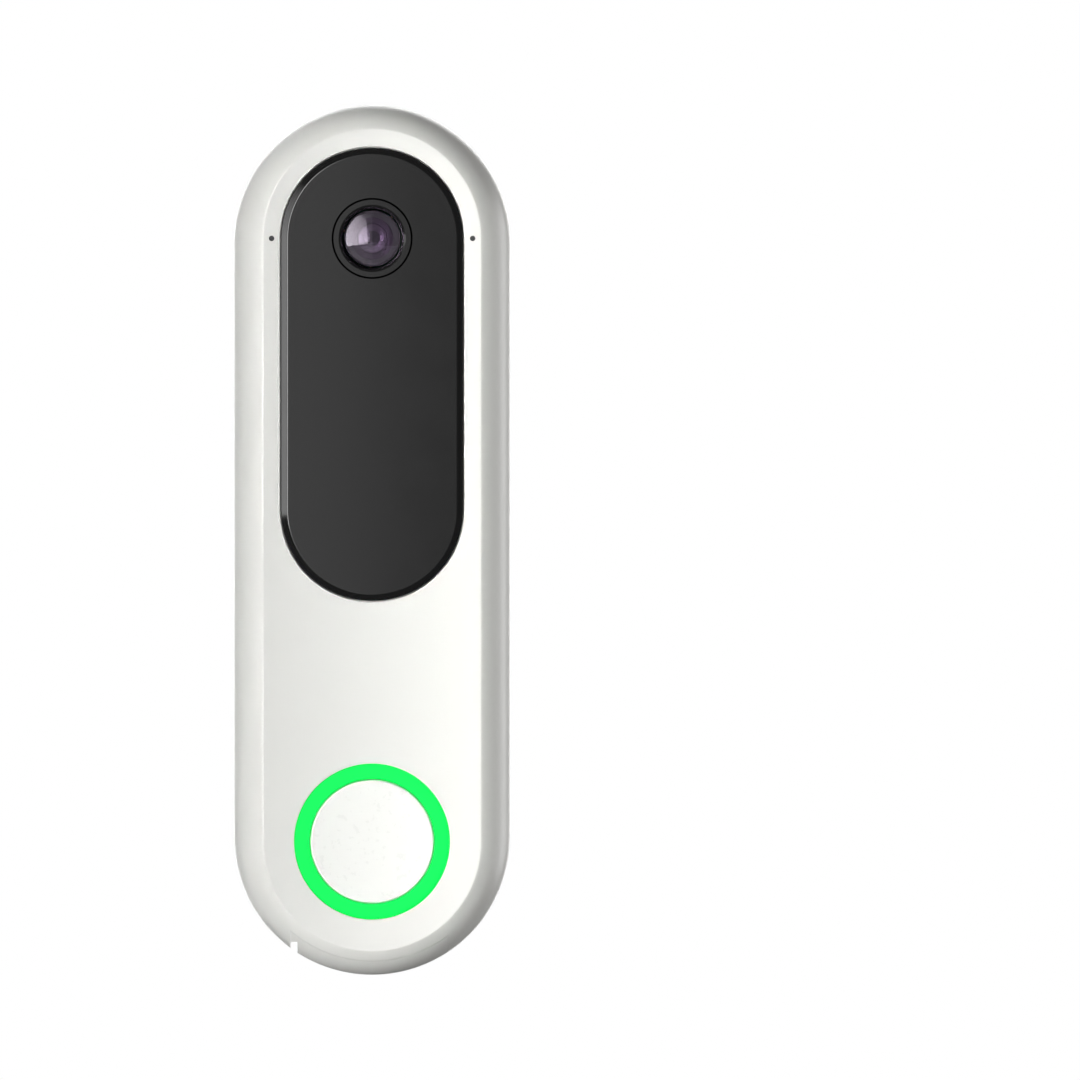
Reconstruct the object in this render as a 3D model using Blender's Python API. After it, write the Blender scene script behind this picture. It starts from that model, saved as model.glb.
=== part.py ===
"""Battery video doorbell on its wall bracket, as an assembly of separate pieces.

Units are metres. X is to the right, Z is up, and the wall is the plane Y = 0. A "depth" is a distance
from the wall, so a point at depth d has Y = -d, and the front faces -Y. The origin is the centre of the
bracket's back face. A span is a pair (low, high), and depths in a span run from the wall outwards.
"""

import math

import bmesh
import bpy
from mathutils import Vector

# ---- Outline of the case: a stadium (two half circles and straight sides), and a smaller one for the plate
BODY_HALF_WIDTH = 0.0230
BODY_ARC_Z = 0.0495  # centres of the end arcs, above and below the middle
PLATE_HALF_WIDTH = 0.01814
PLATE_ARC_Z = 0.0504
WALL = 0.0020
CAVITY_BOTTOM_Z = -0.0465  # higher than the outer arc's centre, so the wall is thick above the flap

# ---- Depths of the case, from the wall to the front
BRACKET_FRONT = 0.0029
CASE_BACK = 0.0033
CASE_FLOOR = 0.0053
REAR_LIP = 0.0175
FRONT_LIP = 0.0177
SHOULDER_START = 0.0182
PLATE_BACK = 0.0242
PLATE_FRONT = 0.0266
SHOULDER_ANGLE = math.radians(60)
SHOULDER_STEPS = 4
BACK_CHAMFER = 0.0010

# ---- Black panel, in its seat in the front plate
PANEL_HALF_WIDTH = 0.01515
PANEL_TOP_Z = 0.05025  # centres of its end arcs
PANEL_BOTTOM_Z = 0.0050
PANEL_SEAT = 0.0252
PANEL_BACK = 0.02555
PANEL_EDGE = 0.0267  # depth where its chamfer starts
PANEL_FRONT = 0.0274
PANEL_CHAMFER = 0.0011
ADHESIVE = (0.0253, 0.0255)
ADHESIVE_WIDTH = 0.0012

# ---- Camera and what sits beside it behind the panel
CAMERA_Z = 0.0503
BEZEL_HOLE_RADIUS = 0.00675
BEZEL_RADIUS = 0.00655
BEZEL_BORE = 0.00495
LENS_RADIUS = 0.00475
BARREL_BORE = 0.0042
BARREL = (0.0166, 0.0257)
CAMERA_BOARD = (0.0146, 0.0156)
IR_BOARD = (0.0218, 0.0226)
IR_LED_X = 0.0098
MIC_X = 0.01677
MIC_HOLE_RADIUS = 0.00045
MOTION_SENSOR_Z = 0.0080

# ---- Button and light ring, over the button board
BUTTON_Z = -0.0503
BUTTON_RADIUS = 0.01025
BUTTON_FLANGE_RADIUS = 0.0113
BUTTON_BACK = 0.0216
RING_INNER_RADIUS = 0.01045
RING_OUTER_RADIUS = 0.0128
RING_HOLE_RADIUS = 0.0130
RING_FLANGE_RADIUS = 0.0139
RING_FLANGE = (0.0229, 0.0239)
BUTTON_BOARD = (0.0180, 0.0190)
BUTTON_BOARD_RADIUS = 0.0126
PLUNGER_RADIUS = 0.0017
LED_COUNT = 6
LED_CIRCLE = 0.0114
LED_WIDTH = 0.0014
SWITCH_WIDTH = 0.0060

# ---- Main board and battery
MAIN_BOARD = (0.0150, 0.0162)
MAIN_BOARD_Z = (-0.0340, 0.0360)
MAIN_WIDTH = 0.0290
BATTERY = (0.0056, 0.0142)
BATTERY_Z = (-0.0320, 0.0370)
RIBBON_THICKNESS = 0.00015

# ---- Bottom flap over the charging socket. Its pocket follows a circle about the lower end arc's centre
POCKET_RADIUS = 0.0207
POCKET_BACK = 0.0044
POCKET_RIGHT = 0.01270
NOTCH_LEFT = -0.01360  # the fingernail notch is open from here to the flap's left end
FLAP_LEFT = -0.01245
FLAP_RIGHT = 0.01250
FLAP_INNER_RADIUS = 0.02095
FLAP_BACK = 0.0046
HINGE_Z = -BODY_ARC_Z - math.sqrt(BODY_HALF_WIDTH**2 - FLAP_RIGHT**2)
HINGE_RELIEF = (0.0110, -0.0669)  # the flap's inner corner is cut away right of this X and above this Z
PORT_DEPTH = 0.0131
USB_X = 0.0015
USB_MOUTH_Z = -0.0693
USB_RADIUS = 0.00128  # inside the socket's shell
USB_REACH = 0.0029  # from its middle to each end arc's centre
USB_BOARD = (0.0148, 0.0158)
RESET_X = -0.0056
UNDERSIDE = (-0.0720, -0.0660)  # Z span of the cutters that go through the bottom wall

# ---- Bracket, with its hooks and snap tongue
BRACKET_HALF_WIDTH = 0.0210
BRACKET_CHAMFER = 0.0005
SLOT_Z = (0.0600, -0.0600)
SLOT_RADIUS = 0.0023
SLOT_HEAD_RADIUS = 0.0043
SLOT_HEAD_SEAT = 0.0014
SLOT_REACH = 0.0023  # from the slot's middle to each end arc's centre
BACK_RECESS = (0.0105, 0.0300, 0.0190, 0.0015)  # half width, Z of its two arc centres, depth
HOOK_Z = (0.0460, -0.0440)  # undersides of the two hooks
HOOK_HALF_WIDTH = 0.0065
HOOK_STEM = 0.0018
HOOK_FINGER = 0.0050
HOOK = (0.0049, 0.0062)
HOOK_LIP = 0.0047
HOOK_BLOCK_FRONT = 0.0077
LIFT = 0.0060  # the doorbell rises this far to clear the hooks
TONGUE = (0.0017, 0.0029)
TONGUE_Z = (-0.0260, -0.0100)  # hinge line and tip
TONGUE_HALF_WIDTH = 0.0040
CATCH_RAMP_Z = (-0.0180, -0.0110)
CATCH_FRONT = 0.0042
CATCH_RECESS = 0.0045
CATCH_RECESS_Z = -0.0163

# ---- Case screws, from the back of the rear shell into bosses of the front shell
SCREW_X_Z = ((0.0120, 0.0620), (0.0182, -0.0050), (0.0120, -0.0596))
SCREWS = [(side * x, z) for x, z in SCREW_X_Z for side in (-1, 1)]
BOSS_RADIUS = 0.0024
BOSS_BACK = 0.0056
PILOT_RADIUS = 0.0011
PILOT_END = 0.0130
SCREW_HEAD = (0.0034, 0.0046)
SCREW_HEAD_RADIUS = 0.0019
SHANK_RADIUS = 0.0010

# ---- Speaker, facing the right-hand wall
SPEAKER_DEPTH = 0.0115
SPEAKER_HALF_DEPTH = 0.0052
SPEAKER_Z = (-0.0252, -0.0408)  # centres of its end arcs
SPEAKER_X = (0.0154, 0.0203)
GRILLE_SLOTS = 7
GRILLE_PITCH = 0.0030
GRILLE_SLOT_RADIUS = 0.0006
GRILLE_REACH = (0.0034, 0.0024)  # half length of the middle slots and of the two end ones
GRILLE_X = (0.0200, 0.0250)

# ---- Seal between the shells, in a groove of the rear one
SEAL_HALF_WIDTHS = (0.0217, 0.0223)
SEAL = (0.0168, 0.0176)
SEAL_BOTTOM_Z = -0.0468

TOUCH = 0.0001  # gap between pieces that rest on each other
FIT = 0.0003  # gap around a piece that drops in or moves
OVERCUT = 0.0020  # how far a cutter runs past the wall that it goes through
THROUGH_PLATE = (PLATE_BACK - OVERCUT, PLATE_FRONT + OVERCUT)

ARC_STEPS = 18  # straight pieces in a half circle of the case
ROUND_STEPS = 36  # and in a full circle
SMALL_ARC_STEPS = 8
MEDIUM_STEPS = 24
SMALL_STEPS = 14

bodies = {}
materials = {}


def clear_scene():
    for obj in list(bpy.data.objects):
        bpy.data.objects.remove(obj)


def material(name, colour, roughness, metallic=0.0):
    made = bpy.data.materials.new(name)
    made.use_nodes = True
    shader = made.node_tree.nodes["Principled BSDF"]
    shader.inputs["Base Color"].default_value = (*colour, 1.0)
    shader.inputs["Roughness"].default_value = roughness
    shader.inputs["Metallic"].default_value = metallic
    materials[name] = made


def make_materials():
    material("white_shell", (0.86, 0.86, 0.84), 0.35)
    material("bracket_plastic", (0.80, 0.80, 0.78), 0.55)
    material("black_panel", (0.035, 0.035, 0.036), 0.08)
    material("black_plastic", (0.02, 0.02, 0.02), 0.45)
    material("lens_glass", (0.16, 0.13, 0.18), 0.03)
    material("ring_diffuser", (0.02, 0.95, 0.14), 0.40)
    material("button_white", (0.88, 0.88, 0.86), 0.30)
    material("seal_rubber", (0.10, 0.10, 0.10), 0.80)
    material("flap_rubber", (0.78, 0.78, 0.76), 0.55)
    material("board_green", (0.02, 0.16, 0.07), 0.45)
    material("chip_black", (0.03, 0.03, 0.03), 0.40)
    material("bright_metal", (0.72, 0.72, 0.72), 0.30, 1.0)
    material("steel_screw", (0.55, 0.55, 0.56), 0.35, 1.0)
    material("ribbon_film", (0.62, 0.33, 0.05), 0.40)
    material("battery_wrap", (0.05, 0.12, 0.30), 0.45)
    material("lead_red", (0.55, 0.03, 0.03), 0.50)
    material("led_white", (0.90, 0.90, 0.82), 0.30)


def at(x, depth, z):
    return Vector((x, -depth, z))


def about(centre, width):
    return centre - width / 2, centre + width / 2


def on(board, height):
    """The depths of a piece that stands on the front of a board."""
    return board[1] + TOUCH, board[1] + TOUCH + height


def body(name, x=0.0, depth=0.0, z=0.0):
    """An empty that carries the pieces of one rigid body, on its joint's axis."""
    empty = bpy.data.objects.new(name + "_body", None)
    empty.location = at(x, depth, z)
    bpy.context.scene.collection.objects.link(empty)
    bodies[name] = empty


def make_bodies():
    body("bracket")
    body("doorbell")
    body("tongue", 0.0, sum(TONGUE) / 2, TONGUE_Z[0])
    body("button", 0.0, PLATE_FRONT, BUTTON_Z)
    body("flap", FLAP_RIGHT, PORT_DEPTH, HINGE_Z)
    body("reset", RESET_X, PORT_DEPTH, -BODY_ARC_Z - POCKET_RADIUS)


# ---- Outlines, each a list of points


def stadium(half_width, top, bottom, depth, steps=ARC_STEPS):
    """Two half circles, about the points (0, top) and (0, bottom), and the straight sides between them."""
    points = []
    for centre, start in ((top, 0.0), (bottom, math.pi)):
        for i in range(steps + 1):
            angle = start + math.pi * i / steps
            points.append(at(half_width * math.cos(angle), depth, centre + half_width * math.sin(angle)))
    return points


def circle(radius, x, z, depth, steps=ROUND_STEPS):
    turns = [2 * math.pi * i / steps for i in range(steps)]
    return [at(x + radius * math.cos(a), depth, z + radius * math.sin(a)) for a in turns]


def level_circle(radius, x, depth, z, steps=SMALL_STEPS):
    """A circle that lies flat, for pieces that stand along Z."""
    turns = [2 * math.pi * i / steps for i in range(steps)]
    return [at(x + radius * math.cos(a), depth + radius * math.sin(a), z) for a in turns]


def rectangle(xs, zs, depth):
    corners = ((xs[0], zs[0]), (xs[1], zs[0]), (xs[1], zs[1]), (xs[0], zs[1]))
    return [at(x, depth, z) for x, z in corners]


def body_outline(inset, depth):
    return stadium(BODY_HALF_WIDTH - inset, BODY_ARC_Z, -BODY_ARC_Z, depth)


def cavity(depth):
    return stadium(BODY_HALF_WIDTH - WALL, BODY_ARC_Z, CAVITY_BOTTOM_Z, depth)


def shoulder_ring(share):
    """The case's outline at a share of the way up its shoulder: 0 at the side wall, 1 at the plate."""
    angle = share * SHOULDER_ANGLE
    inset = (1 - math.cos(angle)) / (1 - math.cos(SHOULDER_ANGLE))
    rise = math.sin(angle) / math.sin(SHOULDER_ANGLE)
    half_width = BODY_HALF_WIDTH + inset * (PLATE_HALF_WIDTH - BODY_HALF_WIDTH)
    arc_z = BODY_ARC_Z + inset * (PLATE_ARC_Z - BODY_ARC_Z)
    return stadium(half_width, arc_z, -arc_z, SHOULDER_START + rise * (PLATE_FRONT - SHOULDER_START))


def shoulder():
    return [shoulder_ring(i / SHOULDER_STEPS) for i in range(SHOULDER_STEPS + 1)]


def panel_outline(inset, depth):
    return stadium(PANEL_HALF_WIDTH - inset, PANEL_TOP_Z, PANEL_BOTTOM_Z, depth)


def seal_outline(half_width, depth):
    return stadium(half_width, BODY_ARC_Z, SEAL_BOTTOM_Z, depth)


def pocket_outline(left, right, radius, depth, steps=12):
    """The area below a circle about the lower end arc's centre, between two vertical lines."""
    first = math.acos(right / radius)
    last = math.acos(left / radius)
    turns = [-(first + (last - first) * i / steps) for i in range(steps + 1)]
    points = [at(radius * math.cos(a), depth, -BODY_ARC_Z + radius * math.sin(a)) for a in turns]
    below = -BODY_ARC_Z - BODY_HALF_WIDTH - OVERCUT
    return points + [at(left, depth, below), at(right, depth, below)]


def lens_profile(radius, back, edge, front, steps=4):
    """A domed lens as (radius, depth) points, from the middle of its back to the middle of its front."""
    tip = 0.0002  # radius of the small flat at the middle of each face
    shares = [i / steps for i in range(steps)]
    rear = [(max(radius * s, tip), back + (edge[0] - back) * s * s) for s in shares]
    face = [(max(radius * s, tip), front + (edge[1] - front) * s * s) for s in reversed(shares)]
    return rear + [(radius, edge[0]), (radius, edge[1])] + face


# ---- Solids. Each takes the name of its colour, and without one it is a cutter


def finish(name, bm, colour, owner):
    """Turns a bmesh in world coordinates into an object of one body, with its origin on that body's axis."""
    bmesh.ops.recalc_face_normals(bm, faces=bm.faces)
    if bm.calc_volume(signed=True) < 0:
        bmesh.ops.reverse_faces(bm, faces=bm.faces)
    mesh = bpy.data.meshes.new(name)
    obj = bpy.data.objects.new(name, mesh)
    bpy.context.scene.collection.objects.link(obj)
    if colour is None:
        obj.hide_render = True
        obj.display_type = "WIRE"
    else:
        bmesh.ops.translate(bm, verts=bm.verts, vec=-bodies[owner].location)
        obj.parent = bodies[owner]
        mesh.materials.append(materials[colour])
    bm.to_mesh(mesh)
    bm.free()
    mesh.shade_smooth()
    mesh.set_sharp_from_angle(angle=math.radians(35))
    return obj


def loft(name, rings, colour=None, owner="doorbell", closed=False):
    """A skin over rings of equal length, with a cap at each end, or joined last to first when closed."""
    bm = bmesh.new()
    rows = [[bm.verts.new(p) for p in ring] for ring in rings]
    pairs = list(zip(rows, rows[1:]))
    if closed:
        pairs.append((rows[-1], rows[0]))
    else:
        bm.faces.new(rows[0])
        bm.faces.new(rows[-1])
    count = len(rings[0])
    for low, high in pairs:
        for i in range(count):
            j = (i + 1) % count
            bm.faces.new((low[i], low[j], high[j], high[i]))
    return finish(name, bm, colour, owner)


def block(name, xs, depths, zs, colour=None, owner="doorbell"):
    return loft(name, [rectangle(xs, zs, d) for d in depths], colour, owner)


def turned(name, profile, x, z, colour=None, owner="doorbell", steps=ROUND_STEPS, ring=False):
    """A turned piece from (radius, depth) points. A ring's profile is a closed loop."""
    return loft(name, [circle(r, x, z, d, steps) for r, d in profile], colour, owner, closed=ring)


def round_bar(name, radius, depths, x, z, colour=None, steps=ROUND_STEPS):
    return turned(name, [(radius, d) for d in depths], x, z, colour, steps=steps)


def tube(name, radii, depths, x, z, colour, steps=ROUND_STEPS):
    (inner, outer), (low, high) = radii, depths
    section = [(inner, low), (outer, low), (outer, high), (inner, high)]
    return turned(name, section, x, z, colour, steps=steps, ring=True)


def prism(name, outline, xs, colour=None, owner="doorbell"):
    """An outline of (depth, z) points, pushed along X."""
    return loft(name, [[at(x, d, z) for d, z in outline] for x in xs], colour, owner)


def ribbon(name, xs, path):
    """A flat cable that follows (depth, z) points."""
    left, right = [], []
    for i, (depth, z) in enumerate(path):
        before, after = path[max(i - 1, 0)], path[min(i + 1, len(path) - 1)]
        along = Vector((after[0] - before[0], after[1] - before[1])).normalized()
        across = Vector((-along.y, along.x)) * RIBBON_THICKNESS / 2
        left.append((depth + across.x, z + across.y))
        right.append((depth - across.x, z - across.y))
    return prism(name, left + right[::-1], xs, "ribbon_film")


def add_bevel(obj, width):
    bevel = obj.modifiers.new("edges", "BEVEL")
    bevel.width = width
    bevel.segments = 2
    bevel.limit_method = "ANGLE"
    bevel.angle_limit = math.radians(40)


def combine(target, operation, *tools):
    for tool in tools:
        boolean = target.modifiers.new(tool.name, "BOOLEAN")
        boolean.operation = operation
        boolean.object = tool
        boolean.solver = "EXACT"


def cut(target, *tools):
    combine(target, "DIFFERENCE", *tools)


def join(target, *tools):
    combine(target, "UNION", *tools)


# ---- Bracket


def make_bracket():
    edge = BRACKET_FRONT - BRACKET_CHAMFER
    outline = [(0.0, 0.0), (0.0, edge), (BRACKET_CHAMFER, BRACKET_FRONT)]
    rings = [stadium(BRACKET_HALF_WIDTH - inset, BODY_ARC_Z, -BODY_ARC_Z, d) for inset, d in outline]
    bracket = loft("wall_bracket", rings, "bracket_plastic", "bracket")
    for i, z in enumerate(HOOK_Z):
        shoulder_z, tip = z + HOOK_STEM, z + HOOK_STEM + HOOK_FINGER
        profile = [(edge, z), (HOOK[1], z), (HOOK[1], tip)]
        profile += [(HOOK[0], tip), (HOOK[0], shoulder_z), (edge, shoulder_z)]
        join(bracket, prism(f"hook_shape_{i}", profile, (-HOOK_HALF_WIDTH, HOOK_HALF_WIDTH)))
    for i, z in enumerate(SLOT_Z):
        cut(bracket, screw_slot(f"screw_slot_{i}", SLOT_RADIUS, z, -OVERCUT))
        cut(bracket, screw_slot(f"screw_head_seat_{i}", SLOT_HEAD_RADIUS, z, SLOT_HEAD_SEAT))
    window = (TONGUE_Z[0] - FIT / 2, TONGUE_Z[1] + 4 * FIT)
    through = (-OVERCUT, BRACKET_FRONT + OVERCUT)
    cut(bracket, block("tongue_window", about(0.0, 2 * TONGUE_HALF_WIDTH + OVERCUT), through, window))
    half_width, top, bottom, depth = BACK_RECESS
    cut(bracket, loft("back_recess", [stadium(half_width, top, bottom, d) for d in (-OVERCUT, depth)]))


def screw_slot(name, radius, z, start):
    ends = (z + SLOT_REACH, z - SLOT_REACH)
    return loft(name, [stadium(radius, *ends, d, SMALL_ARC_STEPS) for d in (start, BRACKET_FRONT + OVERCUT)])


def make_tongue():
    """A strip with a ramp and a catch, whose root stays at the bracket."""
    (back, front), (root, tip) = TONGUE, TONGUE_Z
    ramp_start, ramp_end = CATCH_RAMP_Z
    profile = [(back, root), (front, root), (front, ramp_start)]
    profile += [(CATCH_FRONT, ramp_end), (CATCH_FRONT, tip), (back, tip)]
    prism("snap_tongue", profile, (-TONGUE_HALF_WIDTH, TONGUE_HALF_WIDTH), "bracket_plastic", "tongue")


# ---- Case


def make_rear_shell():
    groove_inner, groove_outer = SEAL_HALF_WIDTHS[0] - TOUCH, SEAL_HALF_WIDTHS[1] + TOUCH
    groove_floor = SEAL[0] - TOUCH
    groove = [(groove_inner, REAR_LIP), (groove_inner, groove_floor)]
    groove += [(groove_outer, groove_floor), (groove_outer, REAR_LIP)]
    outside = [(0.0, REAR_LIP), (0.0, CASE_BACK + BACK_CHAMFER), (BACK_CHAMFER, CASE_BACK)]
    rings = [cavity(CASE_FLOOR), cavity(REAR_LIP)]
    rings += [seal_outline(w, d) for w, d in groove]
    rings += [body_outline(inset, d) for inset, d in outside]
    shell = loft("rear_shell", rings, "white_shell")
    for i, z in enumerate(HOOK_Z):
        add_hook_pocket(shell, i, z)
    behind = CASE_BACK - OVERCUT
    for i, (x, z) in enumerate(SCREWS):
        hole_depths, seat_depths = (behind, HOOK_BLOCK_FRONT), (behind, SCREW_HEAD[1] + TOUCH)
        hole = round_bar(f"screw_hole_{i}", SHANK_RADIUS + FIT, hole_depths, x, z, steps=SMALL_STEPS)
        seat = round_bar(f"screw_seat_{i}", SCREW_HEAD_RADIUS + FIT, seat_depths, x, z, steps=SMALL_STEPS)
        cut(shell, hole, seat)
    catch_xs, catch_zs = about(0.0, 2 * TONGUE_HALF_WIDTH + 4 * FIT), (CATCH_RECESS_Z, TONGUE_Z[1] + FIT)
    cut(shell, block("catch_recess", catch_xs, (behind, CATCH_RECESS), catch_zs))
    add_grille(shell)
    cut(shell, *pocket_cutters("rear_pocket"))
    cut(shell, block("usb_opening", about(USB_X, 0.0098), about(PORT_DEPTH, 0.0038), UNDERSIDE))
    cut(shell, loft("reset_opening", [level_circle(0.00135, RESET_X, PORT_DEPTH, z) for z in UNDERSIDE]))


def add_hook_pocket(shell, index, z):
    """A raised block with a closed pocket, so that the hook holds the case without opening it."""
    half = HOOK_HALF_WIDTH + FIT
    low = z - LIFT - FIT
    tip = z + HOOK_STEM + HOOK_FINGER + FIT
    wall = 0.0015
    block_xs, block_zs = (-half - wall, half + wall), (low - wall, tip + wall)
    join(shell, block(f"hook_block_{index}", block_xs, (CASE_FLOOR - FIT, HOOK_BLOCK_FRONT), block_zs))
    hollow = block(f"hook_hollow_{index}", (-half, half), (HOOK_LIP, HOOK[1] + FIT), (low, tip))
    slot_depths, slot_zs = (CASE_BACK - OVERCUT, HOOK_LIP + FIT), (low, z + HOOK_STEM + 2 * TOUCH)
    cut(shell, hollow, block(f"hook_slot_{index}", (-half, half), slot_depths, slot_zs))


def add_grille(shell):
    middle = (GRILLE_SLOTS - 1) / 2
    for i in range(GRILLE_SLOTS):
        z = sum(SPEAKER_Z) / 2 + (i - middle) * GRILLE_PITCH
        reach = GRILLE_REACH[0] if abs(i - middle) < middle else GRILLE_REACH[1]
        slot = stadium(GRILLE_SLOT_RADIUS, reach, -reach, 0.0, SMALL_ARC_STEPS // 2)
        rings = [[at(x, SPEAKER_DEPTH + p.z, z + p.x) for p in slot] for x in GRILLE_X]
        cut(shell, loft(f"grille_slot_{i}", rings))


def pocket_cutters(name):
    """The flap's pocket, and the fingernail notch beside it, which is open right through to the back."""
    pocket_depths, notch_depths = (POCKET_BACK, PANEL_FRONT), (CASE_BACK - OVERCUT, POCKET_BACK + FIT)
    pocket = [pocket_outline(NOTCH_LEFT, POCKET_RIGHT, POCKET_RADIUS, d) for d in pocket_depths]
    notch = [pocket_outline(NOTCH_LEFT, FLAP_LEFT + FIT, POCKET_RADIUS, d) for d in notch_depths]
    return loft(name, pocket), loft(name + "_notch", notch)


def make_seal():
    (inner, outer), (low, high) = SEAL_HALF_WIDTHS, SEAL
    section = [(inner, low), (outer, low), (outer, high), (inner, high)]
    loft("shell_seal", [seal_outline(w, d) for w, d in section], "seal_rubber", closed=True)


def make_front_shell():
    inside = [
        stadium(0.0186, 0.0499, -0.0480, PLATE_BACK),
        stadium(0.0200, 0.0498, -0.0473, 0.0225),
        cavity(SHOULDER_START),
        cavity(FRONT_LIP),
    ]
    shell = loft("front_shell", inside + [body_outline(0.0, FRONT_LIP)] + shoulder(), "white_shell")
    boss, pilot = (BOSS_BACK, PLATE_BACK + FIT), (BOSS_BACK - OVERCUT, PILOT_END)
    for i, (x, z) in enumerate(SCREWS):
        join(shell, round_bar(f"boss_{i}", BOSS_RADIUS, boss, x, z, steps=SMALL_STEPS))
    for i, (x, z) in enumerate(SCREWS):
        cut(shell, round_bar(f"pilot_{i}", PILOT_RADIUS, pilot, x, z, steps=SMALL_STEPS))
    cut(shell, loft("panel_seat", [panel_outline(-2 * TOUCH, d) for d in (PANEL_SEAT, PANEL_FRONT)]))
    windows = [(0.0057, 0.0, CAMERA_Z), (0.0050, 0.0, MOTION_SENSOR_Z)]
    windows += [(0.0022, side * IR_LED_X, CAMERA_Z) for side in (-1, 1)]
    for i, (radius, x, z) in enumerate(windows):
        cut(shell, round_bar(f"window_{i}", radius, THROUGH_PLATE, x, z, steps=MEDIUM_STEPS))
    for i, x in enumerate((-MIC_X, MIC_X)):
        cut(shell, round_bar(f"mic_hole_{i}", MIC_HOLE_RADIUS, THROUGH_PLATE, x, CAMERA_Z, steps=SMALL_STEPS))
    cut(shell, round_bar("ring_hole", RING_HOLE_RADIUS, THROUGH_PLATE, 0.0, BUTTON_Z))
    flange_seat = (RING_FLANGE[0] - 2 * TOUCH, PLATE_BACK)
    cut(shell, round_bar("flange_seat", RING_FLANGE_RADIUS + 2 * TOUCH, flange_seat, 0.0, BUTTON_Z))
    cut(shell, *pocket_cutters("front_pocket"))


def make_case_screws():
    """Pan heads with a small dimple, and plain shanks."""
    back, front = SCREW_HEAD
    dimple, end = 0.0004, 0.0124
    profile = [(dimple, back + 0.0005), (0.0009, back), (SCREW_HEAD_RADIUS, back), (SCREW_HEAD_RADIUS, front)]
    profile += [(SHANK_RADIUS, front), (SHANK_RADIUS, end - 0.0006), (dimple, end)]
    for i, (x, z) in enumerate(SCREWS, 1):
        turned(f"case_screw_{i}", profile, x, z, "steel_screw", steps=SMALL_STEPS)


# ---- Panel and camera


def make_panel():
    edge = [(0.0, PANEL_BACK), (0.0, PANEL_EDGE)]
    edge += [(0.6 * PANEL_CHAMFER, PANEL_FRONT - TOUCH), (PANEL_CHAMFER, PANEL_FRONT)]
    panel = loft("lens_panel", [panel_outline(inset, d) for inset, d in edge], "black_panel")
    cut(panel, round_bar("bezel_hole", BEZEL_HOLE_RADIUS, THROUGH_PLATE, 0.0, CAMERA_Z))
    inner, outer = ADHESIVE_WIDTH + TOUCH, TOUCH
    section = [(inner, ADHESIVE[0]), (outer, ADHESIVE[0]), (outer, ADHESIVE[1]), (inner, ADHESIVE[1])]
    loft("panel_adhesive", [panel_outline(inset, d) for inset, d in section], "seal_rubber", closed=True)


def make_camera():
    bezel_back, bezel_front, slope = ADHESIVE[0] + TOUCH, PANEL_FRONT - TOUCH / 2, 0.0010
    bezel = [(BEZEL_BORE, bezel_back), (BEZEL_RADIUS, bezel_back), (BEZEL_RADIUS, bezel_front)]
    bezel += [(0.0056, bezel_front), (BEZEL_BORE, bezel_front - slope)]
    turned("lens_bezel", bezel, 0.0, CAMERA_Z, "black_plastic", ring=True)
    dome = lens_profile(LENS_RADIUS, 0.0258, (0.0258, 0.0261), 0.0272)
    turned("lens_front", dome, 0.0, CAMERA_Z, "lens_glass", steps=MEDIUM_STEPS)
    inner_lens = lens_profile(BARREL_BORE - 2 * TOUCH, 0.0224, (0.0228, 0.0231), 0.0240)
    turned("lens_rear", inner_lens, 0.0, CAMERA_Z, "lens_glass", steps=MEDIUM_STEPS)
    iris_radii, iris = (0.0012, BARREL_BORE - TOUCH), (0.0214, 0.0218)
    tube("lens_iris", iris_radii, iris, 0.0, CAMERA_Z, "black_plastic", MEDIUM_STEPS)
    tube("lens_barrel", (BARREL_BORE, LENS_RADIUS), BARREL, 0.0, CAMERA_Z, "black_plastic", MEDIUM_STEPS)
    width = 0.0130
    holder_depths = on(CAMERA_BOARD, 0.0038)
    holder = block("lens_holder", about(0.0, width), holder_depths, about(CAMERA_Z, width), "black_plastic")
    bore = (CAMERA_BOARD[0], IR_BOARD[0])
    cut(holder, round_bar("holder_bore", LENS_RADIUS + 2 * TOUCH, bore, 0.0, CAMERA_Z, steps=MEDIUM_STEPS))
    block("image_sensor", about(0.0, 0.0064), on(CAMERA_BOARD, 0.0007), about(CAMERA_Z, 0.0056), "chip_black")
    block("camera_board", about(0.0, 0.0240), CAMERA_BOARD, (0.0413, 0.0592), "board_green")


def make_infrared():
    board = block("ir_board", about(0.0, 0.0256), IR_BOARD, about(CAMERA_Z, 0.0110), "board_green")
    hole_depths = (IR_BOARD[0] - OVERCUT, IR_BOARD[1] + OVERCUT)
    cut(board, round_bar("ir_board_hole", LENS_RADIUS + FIT, hole_depths, 0.0, CAMERA_Z))
    base, rim = on(IR_BOARD, 0.0007)
    dome = [(0.0016, base), (0.0016, rim), (0.0011, rim), (0.0011, rim + 0.0003), (0.0006, rim + 0.0006)]
    for side, x in (("left", -IR_LED_X), ("right", IR_LED_X)):
        turned(f"ir_led_{side}", dome, x, CAMERA_Z, "led_white", steps=SMALL_STEPS)


def make_microphones():
    gasket, can = (0.0232, PLATE_BACK - TOUCH), (0.0222, 0.0231)
    for side, x in (("left", -MIC_X), ("right", MIC_X)):
        tube(f"mic_gasket_{side}", (0.0006, 0.0017), gasket, x, CAMERA_Z, "seal_rubber", SMALL_STEPS)
        block(f"microphone_{side}", about(x, 0.0030), can, about(CAMERA_Z, 0.0022), "bright_metal")


# ---- Button


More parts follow.
